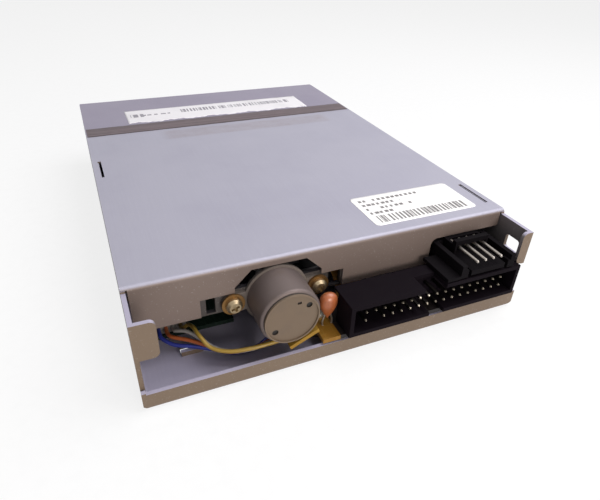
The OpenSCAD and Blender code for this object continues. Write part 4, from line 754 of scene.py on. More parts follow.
def mesh_piece(name: str, points: np.ndarray, faces: np.ndarray, finish: Finish,
               smooth: bool = True) -> bpy.types.Object:
    """Puts arrays of points and faces into a new object at the origin.

    Args:
        name: The piece's name.
        points: Array of n by 3, in metres.
        faces: Array of m by 3 or m by 4 indices of points, anticlockwise from outside.
        finish: What the piece is made of.
        smooth: Whether the faces are shaded smooth.

    Returns:
        The object, linked to the scene.
    """
    mesh = bpy.data.meshes.new(name)
    mesh.vertices.add(len(points))
    mesh.vertices.foreach_set("co", np.ascontiguousarray(points, dtype=np.float32).ravel())
    corners = faces.shape[1]
    mesh.loops.add(faces.size)
    mesh.loops.foreach_set("vertex_index", faces.astype(np.int32).ravel())
    mesh.polygons.add(len(faces))
    mesh.polygons.foreach_set("loop_start", np.arange(len(faces), dtype=np.int32) * corners)
    mesh.polygons.foreach_set("use_smooth", np.full(len(faces), smooth))
    mesh.update(calc_edges=True)
    mesh.validate()
    mesh.materials.append(finish.build())
    piece = bpy.data.objects.new(name, mesh)
    bpy.context.scene.collection.objects.link(piece)
    return piece


def thicken(piece: bpy.types.Object, thickness: float, offset: float) -> None:
    """Gives a sheet its thickness.

    Args:
        piece: The sheet.
        thickness: The thickness in metres.
        offset: 1 to grow outwards from the mesh, 0 to grow both ways.
    """
    solid = piece.modifiers.new("thickness", "SOLIDIFY")
    solid.thickness = thickness
    solid.offset = offset


def break_edges(piece: bpy.types.Object, width: float) -> None:
    """Merges a piece's doubled points and bevels its sharp edges.

    Args:
        piece: The piece.
        width: Width of the broken edges in metres.
    """
    weld = piece.modifiers.new("weld", "WELD")
    weld.merge_threshold = WELD_GAP
    bevel = piece.modifiers.new("broken edges", "BEVEL")
    bevel.width = width
    bevel.segments = 2
    bevel.limit_method = "ANGLE"
    bevel.angle_limit = EDGE_ANGLE


def stand(thing: bpy.types.Object, place: Place, right: np.ndarray, up: np.ndarray,
          back: np.ndarray) -> None:
    """Puts a camera or a lamp in its place and in the scene.

    Args:
        thing: The camera or lamp, which looks away from its back.
        place: Where it stands.
        right: Unit direction of its right side.
        up: Unit direction of its top.
        back: Unit direction of its back.
    """
    turn = Matrix([list(row) for row in zip(right, up, back)])
    thing.matrix_world = Matrix.Translation(place) @ turn.to_4x4()
    bpy.context.scene.collection.objects.link(thing)


def grid_faces(rows: int, columns: int, around: bool) -> np.ndarray:
    """Four-sided faces over a grid of points in row order.

    Args:
        rows: Number of rings or rows.
        columns: Number of points in a row.
        around: Whether the last column joins the first.

    Returns:
        Array of faces; face (i, j) joins points (i, j), (i, j+1), (i+1, j+1) and (i+1, j).
    """
    i, j = np.meshgrid(np.arange(rows - 1), np.arange(columns if around else columns - 1),
                       indexing="ij")
    following = (j + 1) % columns
    quads = np.stack([i * columns + j, i * columns + following,
                      (i + 1) * columns + following, (i + 1) * columns + j], axis=-1)
    return quads.reshape(-1, 4)


def smooth_path(points: Sequence[Sequence[float]], steps: int) -> np.ndarray:
    """A smooth curve through points: between two of them, the cubic that also matches the slope
    set by their neighbours on each side.

    Args:
        points: The points, in millimetres.
        steps: Number of steps between neighbours.

    Returns:
        Array of points in metres.
    """
    p = np.asarray(points, float)
    padded = np.vstack([p[0], p, p[-1]])
    a, b, c, d = padded[:-3, None], padded[1:-2, None], padded[2:-1, None], padded[3:, None]
    t = np.linspace(0, 1, steps, endpoint=False)[None, :, None]
    curve = 0.5 * (2 * b + (c - a) * t + (2 * a - 5 * b + 4 * c - d) * t ** 2
                   + (3 * b - a - 3 * c + d) * t ** 3)
    return np.vstack([curve.reshape(-1, 3), p[-1]]) * MM


def tube(path: np.ndarray, radius: float, sides: int,
         up: Sequence[float] = (0, 0, 1)) -> tuple[np.ndarray, np.ndarray]:
    """A round tube along a path. Ring i is the circle of the given radius about path point i,
    in the plane at right angles to the path; each end is drawn in to a small closed cap.

    Args:
        path: Array of n by 3 points in metres.
        radius: Radius of the tube in metres.
        sides: Number of points in a ring.
        up: A direction that the path never follows.

    Returns:
        The points and the faces.
    """
    ahead = np.gradient(path, axis=0)
    path = np.vstack([path[0], path[0], path, path[-1], path[-1]])
    radii = np.full(len(path), radius)
    radii[[0, -1]] = END_RADIUS
    ahead = np.vstack([ahead[0], ahead[0], ahead, ahead[-1], ahead[-1]])
    ahead /= np.linalg.norm(ahead, axis=1, keepdims=True)
    side = np.cross(ahead, np.asarray(up, float))
    side /= np.linalg.norm(side, axis=1, keepdims=True)
    other = np.cross(ahead, side)
    turn = np.linspace(0, math.tau, sides, endpoint=False)
    ring = (np.cos(turn)[None, :, None] * side[:, None]
            - np.sin(turn)[None, :, None] * other[:, None])
    points = path[:, None] + radii[:, None, None] * ring
    return points.reshape(-1, 3), grid_faces(len(path), sides, True)[:, ::-1]


def join(parts: Sequence[tuple[np.ndarray, np.ndarray]]) -> tuple[np.ndarray, np.ndarray]:
    """Joins several meshes into one: each one's faces count on from the points before it.

    Args:
        parts: The points and the faces of each mesh.

    Returns:
        The points and the faces of them all.
    """
    starts = np.cumsum([0] + [len(points) for points, _ in parts[:-1]])
    points = np.vstack([points for points, _ in parts])
    faces = np.vstack([faces + start for (_, faces), start in zip(parts, starts)])
    return points, faces


def coil(curls: float, radius: float, length: float, per_curl: int = 18) -> np.ndarray:
    """A helix about +Z from the origin: angle and height both grow evenly along it.

    Args:
        curls: Number of turns.
        radius: Distance of the wire's middle from the axis, in metres.
        length: Height of the helix, in metres.
        per_curl: Number of points in a turn.

    Returns:
        Array of points.
    """
    share = np.linspace(0, 1, int(curls * per_curl) + 1)
    angle = math.tau * curls * share
    return np.stack([radius * np.cos(angle), radius * np.sin(angle), length * share], axis=1)


class Drive:
    """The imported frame: its nodes and bodies, and how a piece or a finish is put on them."""

    def __init__(self) -> None:
        """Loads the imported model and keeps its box."""
        self.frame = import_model()
        self.cad_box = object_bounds()

    def paint(self, finish: Finish, *nodes: str, edge: float = 0.0) -> None:
        """Gives nodes a finish, and breaks their sharp edges.

        Args:
            finish: What the nodes are made of.
            nodes: Names of nodes.
            edge: Width of the broken edges in metres, or 0 for none.
        """
        material = finish.build()
        for name in nodes:
            node = self.frame["nodes"][name]
            node.data.materials.clear()
            node.data.materials.append(material)
            if edge:
                break_edges(node, edge)
        LOG.info("%s: %s", finish.name, ", ".join(nodes))

    def add(self, piece: bpy.types.Object, body: str, slot: str, *nodes: str) -> None:
        """Puts a new piece on a body, in place of nodes if there are any.

        Args:
            piece: The new piece.
            body: The body that carries it.
            slot: Not used.
            nodes: Names of the nodes that it stands for.
        """
        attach(piece, body)
        if nodes:
            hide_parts(*nodes)
        LOG.info("%s on %s", piece.name, body)


@dataclass
class Casing:
    """The folded chassis, the cover with its papers and tape, and the side guides.

    Glue is the gap under a label, and tape_gap is the tape's at the sides and on top.
    """

    width: float = 101.6 * MM
    top: float = 25.4 * MM
    rear_label: Box = (-44.7 * MM, -12.8 * MM, 39.6 * MM, 55.2 * MM)
    front_label: Box = (-36 * MM, 35.4 * MM, -55.8 * MM, -41.4 * MM)
    remains: Box = (-37 * MM, 25 * MM, -29.6 * MM, -21.6 * MM)
    paper: float = 0.1 * MM
    glue: float = 0.02 * MM
    label_corner: float = 1.3 * MM
    label_lift: float = 0.06 * MM
    tape: tuple[float, float] = (-40 * MM, -31.85 * MM)
    tape_thickness: float = 0.06 * MM
    tape_drop: float = 6 * MM
    tape_bend: float = 0.5 * MM
    tape_skew: float = 0.6 * MM
    tape_gap: tuple[float, float] = (0.04 * MM, 0.03 * MM)
    lilac: Colour = (0.38, 0.372, 0.445)
    front_lilac: Colour = (0.285, 0.26, 0.335)
    pan_lilac: Colour = (0.41, 0.385, 0.49)
    # Painted shade: the upright faces and the faces along X of cover and pan get these darker,
    # warmer colours.
    warm_upright_shade: Colour = (0.165, 0.122, 0.103)
    tan_upright_shade: Colour = (0.165, 0.115, 0.075)
    side_shade: Colour = (0.19, 0.17, 0.175)

    def build(self, drive: Drive) -> None:
        """Dresses the sheet metal and lays on the labels and the tape.

        Args:
            drive: The drive that carries them.
        """
        drive.paint(PlatedSheet("cover_steel", self.lilac, self.warm_upright_shade, metallic=0.25, rough=0.52,
                                front=self.front_lilac, side=self.side_shade, patch=self.remains),
                    "top_cover")
        drive.paint(PlatedSheet("pan_steel", self.pan_lilac, self.tan_upright_shade, metallic=0.15, rough=0.5,
                                side=self.side_shade), "pan_chassis")
        drive.paint(PlatedSheet("guide_steel", (0.4, 0.4, 0.42), (0.35, 0.34, 0.33)),
                    "side_guides")
        self._rear_label(drive)
        self._front_label(drive)
        self._tape(drive)

    def _sheet(self, drive: Drive, x: np.ndarray, y: np.ndarray, z: np.ndarray, name: str,
               finish: Finish, thickness: float) -> None:
        """Lays a thin sheet on the cover.

        Args:
            drive: The drive that carries it.
            x: Grid of its X places.
            y: Grid of its Y places, of the same shape.
            z: Grid of its Z places, of the same shape.
            name: The piece's name.
            finish: What it is made of.
            thickness: Its thickness in metres.
        """
        points = np.stack([x, y, z], axis=-1).reshape(-1, 3)
        piece = mesh_piece(name, points, grid_faces(*x.shape, False), finish)
        thicken(piece, thickness, 1.0)
        drive.add(piece, "chassis", "cover_steel")

    def _round_corner_grid(self, box: Box, radius: float, rows: int = 60,
                           columns: int = 25) -> tuple[np.ndarray, np.ndarray]:
        """Grid over a rectangle with round corners: each row of constant x ends where the corner
        circle ends, so y is the share of the half height left at that x.

        Args:
            box: Lowest and highest X and Y of the rectangle.
            radius: Radius of the corners in metres.
            rows: Number of rows along X.
            columns: Number of points in a row.

        Returns:
            The X and the Y of the grid's points.
        """
        x0, x1, y0, y1 = box
        u = np.linspace(0, 1, rows)
        x = x0 + (x1 - x0) * (0.5 - 0.5 * np.cos(math.pi * u))
        inset = np.maximum(0.0, radius - np.minimum(x - x0, x1 - x))
        cut = radius - np.sqrt(np.maximum(0.0, radius ** 2 - inset ** 2))
        v = np.linspace(-1, 1, columns)
        half = (y1 - y0) / 2 - cut
        return (np.repeat(x[:, None], columns, axis=1),
                (y0 + y1) / 2 + half[:, None] * v[None, :])

    def _rear_label(self, drive: Drive) -> None:
        """Lays the white label on the cover: it rises at its far end by the twelfth power of the
        share of its length, so only the edge lifts.

        Args:
            drive: The drive that carries it.
        """
        x, y = self._round_corner_grid(self.rear_label, self.label_corner)
        x0, x1, _, y1 = self.rear_label
        lift = np.clip((x - x0) / (x1 - x0), 0, 1) ** 12 * self.label_lift
        z = np.full_like(x, self.top + self.glue) + lift
        finish = PaperLabel(
            "label_paper", (0.90, 0.89, 0.87), (0.05, 0.04, 0.045), (x1, y1),
            rows=((12.5 * MM, 1.1 * MM, 19.5 * MM), (10.2 * MM, 1.1 * MM, 12.0 * MM),
                  (7.9 * MM, 1.1 * MM, 16.0 * MM), (5.7 * MM, 1.1 * MM, 8.5 * MM)),
            bars=(2.2 * MM, 29.8 * MM, 1.1 * MM, 4.7 * MM), bar_pitch=1.15 * MM, wear=0.10)
        self._sheet(drive, x, y, z, "rear_label", finish, self.paper)

    def _front_label(self, drive: Drive) -> None:
        """Lays the long torn label near the front. Its rear edge follows a sum of three sines of
        the place along it.

        Args:
            drive: The drive that carries it.
        """
        x0, x1, y0, y1 = self.front_label
        u, v = np.meshgrid(np.linspace(0, 1, 120), np.linspace(0, 1, 22), indexing="ij")
        ragged = (0.55 * np.sin(31 * u) + 0.35 * np.sin(83 * u + 1.3)
                  + 0.25 * np.sin(190 * u + 0.4)) * MM
        x = x0 + (x1 - x0) * u
        y = y0 + (y1 - y0 + 0.8 * ragged) * v
        z = np.full_like(x, self.top + self.glue)
        finish = PaperLabel(
            "torn_label_paper", (0.80, 0.78, 0.80), (0.17, 0.16, 0.19), (x1, y1),
            rows=((6.2 * MM, 3.4 * MM, 7.0 * MM), (7.2 * MM, 1.2 * MM, 15.0 * MM)),
            bars=(21 * MM, 67 * MM, 7.4 * MM, 11.0 * MM), bar_pitch=1.3 * MM, dash=2.6 * MM,
            wear=0.35)
        self._sheet(drive, x, y, z, "front_label", finish, self.paper)

    def _tape(self, drive: Drive) -> None:
        """Wraps the tape over the top and a little way down both sides.

        The section is a line down the side, a quarter circle at the edge and a line over the top;
        the band is a little skewed, and its edges wave by the sine of the place along it.

        Args:
            drive: The drive that carries it.
        """
        half, top = self.width / 2 + self.tape_gap[0], self.top + self.tape_gap[1]
        drop, bend = self.tape_drop, self.tape_bend
        down = np.linspace(0, 1, 8)
        angle = np.linspace(0, math.pi / 2, 6)
        side_x = np.concatenate([np.full(len(down), half), half - bend + bend * np.cos(angle)])
        side_z = np.concatenate([top - drop + (drop - bend) * down,
                                 top - bend + bend * np.sin(angle)])
        across = np.linspace(half - bend, bend - half, 60)[1:-1]
        x = np.concatenate([side_x, across, -side_x[::-1]])
        z = np.concatenate([side_z, np.full(len(across), top), side_z[::-1]])
        v = np.linspace(0, 1, 12)
        grid_x = np.repeat(x[:, None], len(v), axis=1)
        grid_z = np.repeat(z[:, None], len(v), axis=1)
        low, high = self.tape
        wave = 0.06 * MM * np.sin(grid_x / MM * 0.7)
        grid_y = low + (high - low) * v[None, :] + self.tape_skew * grid_x / self.width + wave
        finish = OldTape("brown_tape", (0.135, 0.10, 0.11), self.tape)
        self._sheet(drive, grid_x[::-1], grid_y[::-1], grid_z[::-1], "tape_band", finish,
                    self.tape_thickness)


@dataclass
class StepperMotor:
    """The motor at the rear, its bracket and its leads, whose routes are in millimetres."""

    axis_x: float = 16.2 * MM
    cap_recess: float = 0.45 * MM
    cap_edge: float = 0.08 * MM
    lead_radius: float = 0.50 * MM
    routes: dict[str, tuple[Colour, list[list[float]]]] = field(default_factory=lambda: {
        "lead_yellow": ((0.30, 0.19, 0.028), [
            [16.8, 66.4, 6.6], [20.5, 67, 7], [25, 67, 7], [30, 65.6, 6.4], [33.6, 63, 6.4],
            [35.4, 60, 7.8], [36.2, 56, 7.8], [36.8, 53.4, 6.7], [38.1, 51.8, 4.7],
            [38.3, 50.1, 4.4]]),
        "lead_white": ((0.34, 0.32, 0.30), [
            [17.2, 64.8, 5.6], [21, 65.4, 5.6], [25, 65.4, 5.2], [29.6, 64, 4.8],
            [33, 61.6, 5.2], [35.2, 58.4, 6], [37.6, 55, 6.1], [39.7, 52.6, 5],
            [40.1, 51.6, 4.4], [40.1, 50.1, 4.4]]),
        "lead_orange": ((0.33, 0.08, 0.02), [
            [18, 63.2, 4.8], [21, 63.8, 4.2], [25, 63.8, 3.6], [29.6, 62.6, 3.4],
            [33, 60.3, 4.1], [37.4, 56.6, 4.5], [41, 54, 4.5], [41.9, 52, 4.4],
            [41.9, 50.1, 4.4]]),
        "lead_blue": ((0.02, 0.03, 0.22), [
            [19, 61.8, 4.2], [21.6, 62.2, 2.6], [25, 62.4, 2], [29, 61.6, 2], [33, 59.4, 2.6],
            [37, 57.4, 3.1], [41, 55.4, 3.2], [43.4, 53.2, 4.1], [43.7, 51.6, 4.4],
            [43.7, 50.1, 4.4]]),
    })

    def build(self, drive: Drive) -> None:
        """Dresses the motor's metal and lays its four leads along their routes.

        Args:
            drive: The drive that carries them.
        """
        drive.paint(TurnedMetal("can_steel", (0.14, 0.11, 0.105), rough=0.5, metallic=0.6),
                    "stepper_can")
        drive.paint(TurnedMetal("plate_steel", (0.20, 0.17, 0.15), Axis.X, 0.4, metallic=0.6),
                    "motor_plate")
        # Painted shade: the bracket's steel is made near black, as dark as it looks in the shadow
        # above the motor.
        drive.paint(PlatedSheet("bracket_steel", (0.05, 0.045, 0.05), (0.06, 0.05, 0.045)),
                    "stepper_bracket")
        drive.paint(TurnedMetal("washer_brass", (0.25, 0.135, 0.045), Axis.X, 0.35),
                    "motor_washers")
        drive.paint(TurnedMetal("motor_screw_steel", (0.36, 0.28, 0.17), Axis.X, 0.3),
                    "motor_screws")
        drive.paint(Moulding("terminal_board", (0.27, 0.15, 0.018), 0.5, shine=0.2),
                    "motor_terminal_strip")
        # Painted shade: the plug's nylon is made dark grey-brown, as it looks in the shadow under
        # the flange.
        drive.paint(Moulding("shaded_plug_nylon", (0.10, 0.09, 0.08), 0.45), "lead_plug", "lead_socket")
        self._end_cap(drive)
        for name, (tint, route) in self.routes.items():
            points, faces = tube(smooth_path(route, steps=12), self.lead_radius, sides=16)
            piece = mesh_piece(name + "_wire", points, faces, Insulation(name, tint))
            drive.add(piece, "chassis", name, name)

    def _end_cap(self, drive: Drive) -> None:
        """Turns the cap over: the same solid, with x measured back from the motor's axis and the
        corners of each face in reverse order, so that its holes lie as on the real motor.

        Args:
            drive: The drive that carries the cap.
        """
        source = drive.frame["nodes"]["stepper_end_cap"].data
        points = np.empty(3 * len(source.vertices), dtype=np.float32)
        source.vertices.foreach_get("co", points)
        points = points.reshape(-1, 3).astype(float)
        points[:, 0] = 2 * self.axis_x - points[:, 0]
        corners = np.empty(len(source.loops), dtype=np.int32)
        source.loops.foreach_get("vertex_index", corners)
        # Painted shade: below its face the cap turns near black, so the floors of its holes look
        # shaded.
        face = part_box("stepper_end_cap")[0][1] + self.cap_recess
        finish = TurnedMetal("cap_steel", (0.15, 0.105, 0.068), rough=0.5, metallic=0.3,
                             lines=1400.0, tip=face)
        piece = mesh_piece("turned_end_cap", points, corners.reshape(-1, 3)[:, ::-1], finish, False)
        break_edges(piece, self.cap_edge)
        drive.add(piece, "chassis", "can_steel", "stepper_end_cap")


@dataclass
class Electronics:
    """The main board with its connectors, chip, capacitor and screws."""

    board_top: float = 6.4 * MM
    # Painted shade: below this X the board is painted near black, for the shade under the data
    # connector.
    shade_ends: float = 3.4 * MM
    pin_tip: float = 0.2 * MM
    capacitor_place: Place = (4.9 * MM, 64.9 * MM, 12.0 * MM)
    capacitor_size: tuple[float, float, float] = (4.8 * MM, 3.4 * MM, 7.8 * MM)
    wire_radius: float = 0.28 * MM
    wire_foot: float = 1.25 * MM

    def build(self, drive: Drive) -> None:
        """Dresses the board and what stands on it, and dips the capacitor.

        Args:
            drive: The drive that carries them.
        """
        drive.paint(Laminate("board_laminate", (0.25, 0.12, 0.012), (0.31, 0.17, 0.03), shows=0.25,
                             shaded_below=self.shade_ends), "main_board")
        # Black plastic, made darker still as painted shade for the dark inside of the connectors.
        drive.paint(Moulding("shroud_plastic", (0.006, 0.004, 0.006), 0.6, dust=0.02, shine=0.03),
                    "data_shroud", edge=0.12 * MM)
        drive.paint(Moulding("power_plastic", (0.005, 0.004, 0.005), 0.6, dust=0.02, shine=0.03),
                    "power_housing", edge=0.15 * MM)
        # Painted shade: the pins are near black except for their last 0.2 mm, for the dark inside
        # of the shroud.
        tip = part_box("data_pins")[1][1] - self.pin_tip
        drive.paint(TurnedMetal("pin_gilt", (0.46, 0.40, 0.31), rough=0.3, metallic=0.85, tip=tip),
                    "data_pins")
        drive.paint(TurnedMetal("pin_tin", (0.36, 0.33, 0.30), Axis.Y, 0.3), "power_pins")
        drive.paint(Moulding("chip_plastic", (0.03, 0.03, 0.03), 0.5), "controller_chip")
        drive.paint(TurnedMetal("leg_tin", (0.7, 0.7, 0.68)), "chip_legs")
        drive.paint(Moulding("part_ceramic", (0.25, 0.17, 0.11), 0.5), "board_parts")
        drive.paint(TurnedMetal("screw_zinc", (0.62, 0.60, 0.52), Axis.X, 0.3), "board_screws",
                    "bracket_screws")
        self._capacitor(drive)
        self._capacitor_wires(drive)

    def _capacitor(self, drive: Drive) -> None:
        """Dips the capacitor: a drop whose radius is the sine of the angle from its foot, drawn in
        below by a power of the sine of half that angle, and flattened front to back.

        Args:
            drive: The drive that carries it.
        """
        x, y, z = self.capacitor_place
        width, depth, height = self.capacitor_size
        angle = np.linspace(0.001, math.pi - 0.001, 40)
        radius = np.sin(angle) * np.sin(angle / 2) ** 1.2
        radius /= radius.max()
        rise = (1 - np.cos(angle)) / 2 - 0.5
        turn = np.linspace(0, math.tau, 36, endpoint=False)
        body = np.stack([x + width / 2 * radius[:, None] * np.cos(turn)[None],
                         y + depth / 2 * radius[:, None] * np.sin(turn)[None],
                         z + height * np.repeat(rise[:, None], len(turn), axis=1)], axis=-1)
        piece = mesh_piece("dipped_capacitor", body.reshape(-1, 3),
                           grid_faces(len(angle), len(turn), True),
                           Resin("capacitor_resin", (0.42, 0.115, 0.035)))
        drive.add(piece, "chassis", "capacitor_resin", "drop_capacitor")

    def _capacitor_wires(self, drive: Drive) -> None:
        """Bends the capacitor's two wires: each goes up from the board and leans in to the drop.

        Args:
            drive: The drive that carries them.
        """
        x, y, _ = self.capacitor_place
        wires = []
        for side in (-1, 1):
            foot = np.array([x + side * self.wire_foot, y, self.board_top]) / MM
            path = smooth_path([foot, foot + [0, 0, 1.2], foot + [-side * 0.35, 0, 2.6],
                                foot + [-side * 0.5, 0, 4.0]], steps=8)
            wires.append(tube(path, self.wire_radius, sides=12, up=(0, 1, 0)))
        points, faces = join(wires)
        piece = mesh_piece("capacitor_leads", points, faces,
                           TurnedMetal("lead_tin", (0.42, 0.38, 0.33), Axis.Z, 0.3))
        drive.add(piece, "chassis", "capacitor_resin")


@dataclass
class SpindleDrive:
    """The spindle motor: board, stator, rotor and disk hub."""

    bronze: Colour = (0.55, 0.36, 0.14)
    leaf_bronze: Colour = (0.62, 0.5, 0.26)
    rotor: Colour = (0.55, 0.55, 0.56)
    hub: Colour = (0.66, 0.62, 0.54)

    def build(self, drive: Drive) -> None:
        """Dresses every node of the spindle motor.

        Args:
            drive: The drive that carries them.
        """
        drive.paint(Laminate("spindle_board", (0.008, 0.018, 0.012), (0.014, 0.03, 0.02)),
                    "spindle_board")
        drive.paint(TurnedMetal("bearing_bronze", self.bronze, Axis.Z, 0.35), "spindle_bearing")
        drive.paint(PlatedSheet("core_steel", (0.22, 0.22, 0.24), (0.2, 0.2, 0.2)), "stator_core")
        drive.paint(Winding("coil_copper", (0.62, 0.24, 0.08)), "stator_coils")
        drive.paint(TurnedMetal("rotor_steel", self.rotor, Axis.Z, 0.3), "rotor_cup")
        drive.paint(Moulding("magnet", (0.06, 0.06, 0.065), 0.5), "rotor_magnet")
        drive.paint(TurnedMetal("hub_steel", self.hub, Axis.Z, 0.22), "disk_hub")
        drive.paint(TurnedMetal("pin_steel", (0.75, 0.75, 0.73), Axis.Z, 0.18), "drive_pin")
        drive.paint(TurnedMetal("leaf_bronze", self.leaf_bronze, Axis.Y, 0.3), "pin_leaf_spring")


@dataclass
class HeadGroup:
    """The lead screw, the rod, the carriage with both heads, the ribbon and the springs.

    Pairs are limits along an axis, or a place in the plane at right angles to X or Y. The ribbon's
    are in millimetres.
    """

    screw_axis: tuple[float, float] = (16.2 * MM, 15.0 * MM)
    screw_ends: tuple[float, float] = (29.2 * MM, 51.0 * MM)
    journal_ends: tuple[float, float] = (26.5 * MM, 59.0 * MM)
    journal: float = 1.0 * MM
    lead: float = 3.75 * MM
    groove_at: float = 46.0 * MM
    core: float = 1.5 * MM
    wave: float = 0.5 * MM
    hinge: tuple[float, float] = (46.0 * MM, 15.7 * MM)
    spring_x: float = -10.7 * MM
    spring_radius: float = 1.7 * MM
    spring_length: float = 3.4 * MM
    spring_wire: float = 0.2 * MM
    ribbon_x: tuple[float, float] = (-9, -1)
    ribbon_y: tuple[float, float] = (50.7, 58.6)
    ribbon_z: tuple[float, float] = (12.2, 8.4)
    ribbon_rise: float = 3.0
    ribbon_thickness: float = 0.18 * MM

    def build(self, drive: Drive) -> None:
        """Dresses the carriage, and makes the screw, the springs and the ribbon.

        Args:
            drive: The drive that carries them.
        """
        drive.paint(TurnedMetal("rod_steel", (0.76, 0.76, 0.75), Axis.X, 0.14), "guide_rod",
                    "arm_hinge_pin")
        drive.paint(Moulding("clamp_plastic", (0.42, 0.42, 0.41), 0.5), "rod_clamps")
        drive.paint(Moulding("carriage_plastic", (0.05, 0.05, 0.055), 0.48), "head_carriage",
                    "upper_head_arm", edge=0.1 * MM)
        drive.paint(Moulding("head_ceramic", (0.55, 0.55, 0.50), 0.25, grain=900.0,
                             depth=0.005 * MM), "lower_head", "upper_head")
        drive.paint(Moulding("sensor_plastic", (0.03, 0.03, 0.03), 0.45), "track_sensor")
        self._screw(drive)
        self._arm_spring(drive)
        self._ribbon(drive)

    def _screw(self, drive: Drive) -> None:
        """Turns the lead screw: at height y along the axis, the section is a circle whose middle
        stands off the axis by the wave, at an angle that grows by one turn for each lead.

        Args:
            drive: The drive that carries it.
        """
        low, high = self.screw_ends
        first, last = self.journal_ends
        y = np.concatenate([[first, first], [low - 1e-6], np.linspace(low, high, 170),
                            [high + 1e-6], [last, last]])
        threaded = (y >= low) & (y <= high)
        phase = math.tau * (y - self.groove_at) / self.lead
        radius = np.where(threaded, self.core, self.journal)
        radius[[0, -1]] = END_RADIUS
        offset = np.where(threaded, self.wave, 0.0)
        turn = np.linspace(0, math.tau, 40, endpoint=False)
        x0, z0 = self.screw_axis
        x = x0 + (offset * np.cos(phase))[:, None] + radius[:, None] * np.cos(turn)[None]
        z = z0 - (offset * np.sin(phase))[:, None] - radius[:, None] * np.sin(turn)[None]
        points = np.stack([x, np.repeat(y[:, None], len(turn), axis=1), z], axis=-1)
        piece = mesh_piece("ground_lead_screw", points.reshape(-1, 3),
                           grid_faces(len(y), len(turn), True),
                           TurnedMetal("lead_screw_steel", (0.66, 0.66, 0.63), Axis.Y, 0.24))
        drive.add(piece, "lead_screw", "lead_screw_steel", "lead_screw")

    def _arm_spring(self, drive: Drive) -> None:
        """Winds the arm's spring round the hinge pin: a helix about X.

        Args:
            drive: The drive that carries it.
        """
        y, z = self.hinge
        turns = coil(4, self.spring_radius, self.spring_length)
        path = np.stack([self.spring_x + turns[:, 2], y + turns[:, 1], z - turns[:, 0]], axis=1)
        points, faces = tube(path, self.spring_wire, sides=10, up=(1, 0, 0))
        piece = mesh_piece("arm_spring_wire", points, faces,
                           TurnedMetal("spring_wire", SPRING_TINT, Axis.X, 0.22))
        drive.add(piece, "carriage", "spring_steel", "arm_spring")

    def _ribbon(self, drive: Drive) -> None:
        """Hangs the ribbon from the carriage to the board: its height falls evenly and rises by a
        half sine in between.

        Args:
            drive: Not used.
        """
        share = np.linspace(0, 1, 40)
        (y0, y1), (z0, z1) = self.ribbon_y, self.ribbon_z
        y = (y0 + (y1 - y0) * share) * MM
        z = (z0 + (z1 - z0) * share + self.ribbon_rise * np.sin(math.pi * share)) * MM
        x = np.linspace(*self.ribbon_x, 9) * MM
        grid = np.stack(np.broadcast_arrays(x[None, :], y[:, None], z[:, None]), axis=-1)
        faces = grid_faces(len(share), len(x), False)[:, ::-1]
        piece = mesh_piece("ribbon_film", grid.reshape(-1, 3), faces,
                           OldTape("ribbon_film", (0.45, 0.22, 0.05)))
        thicken(piece, self.ribbon_thickness, 0.0)
        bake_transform(piece)
        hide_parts("head_ribbon")
        LOG.info("ribbon_film between carriage and chassis")


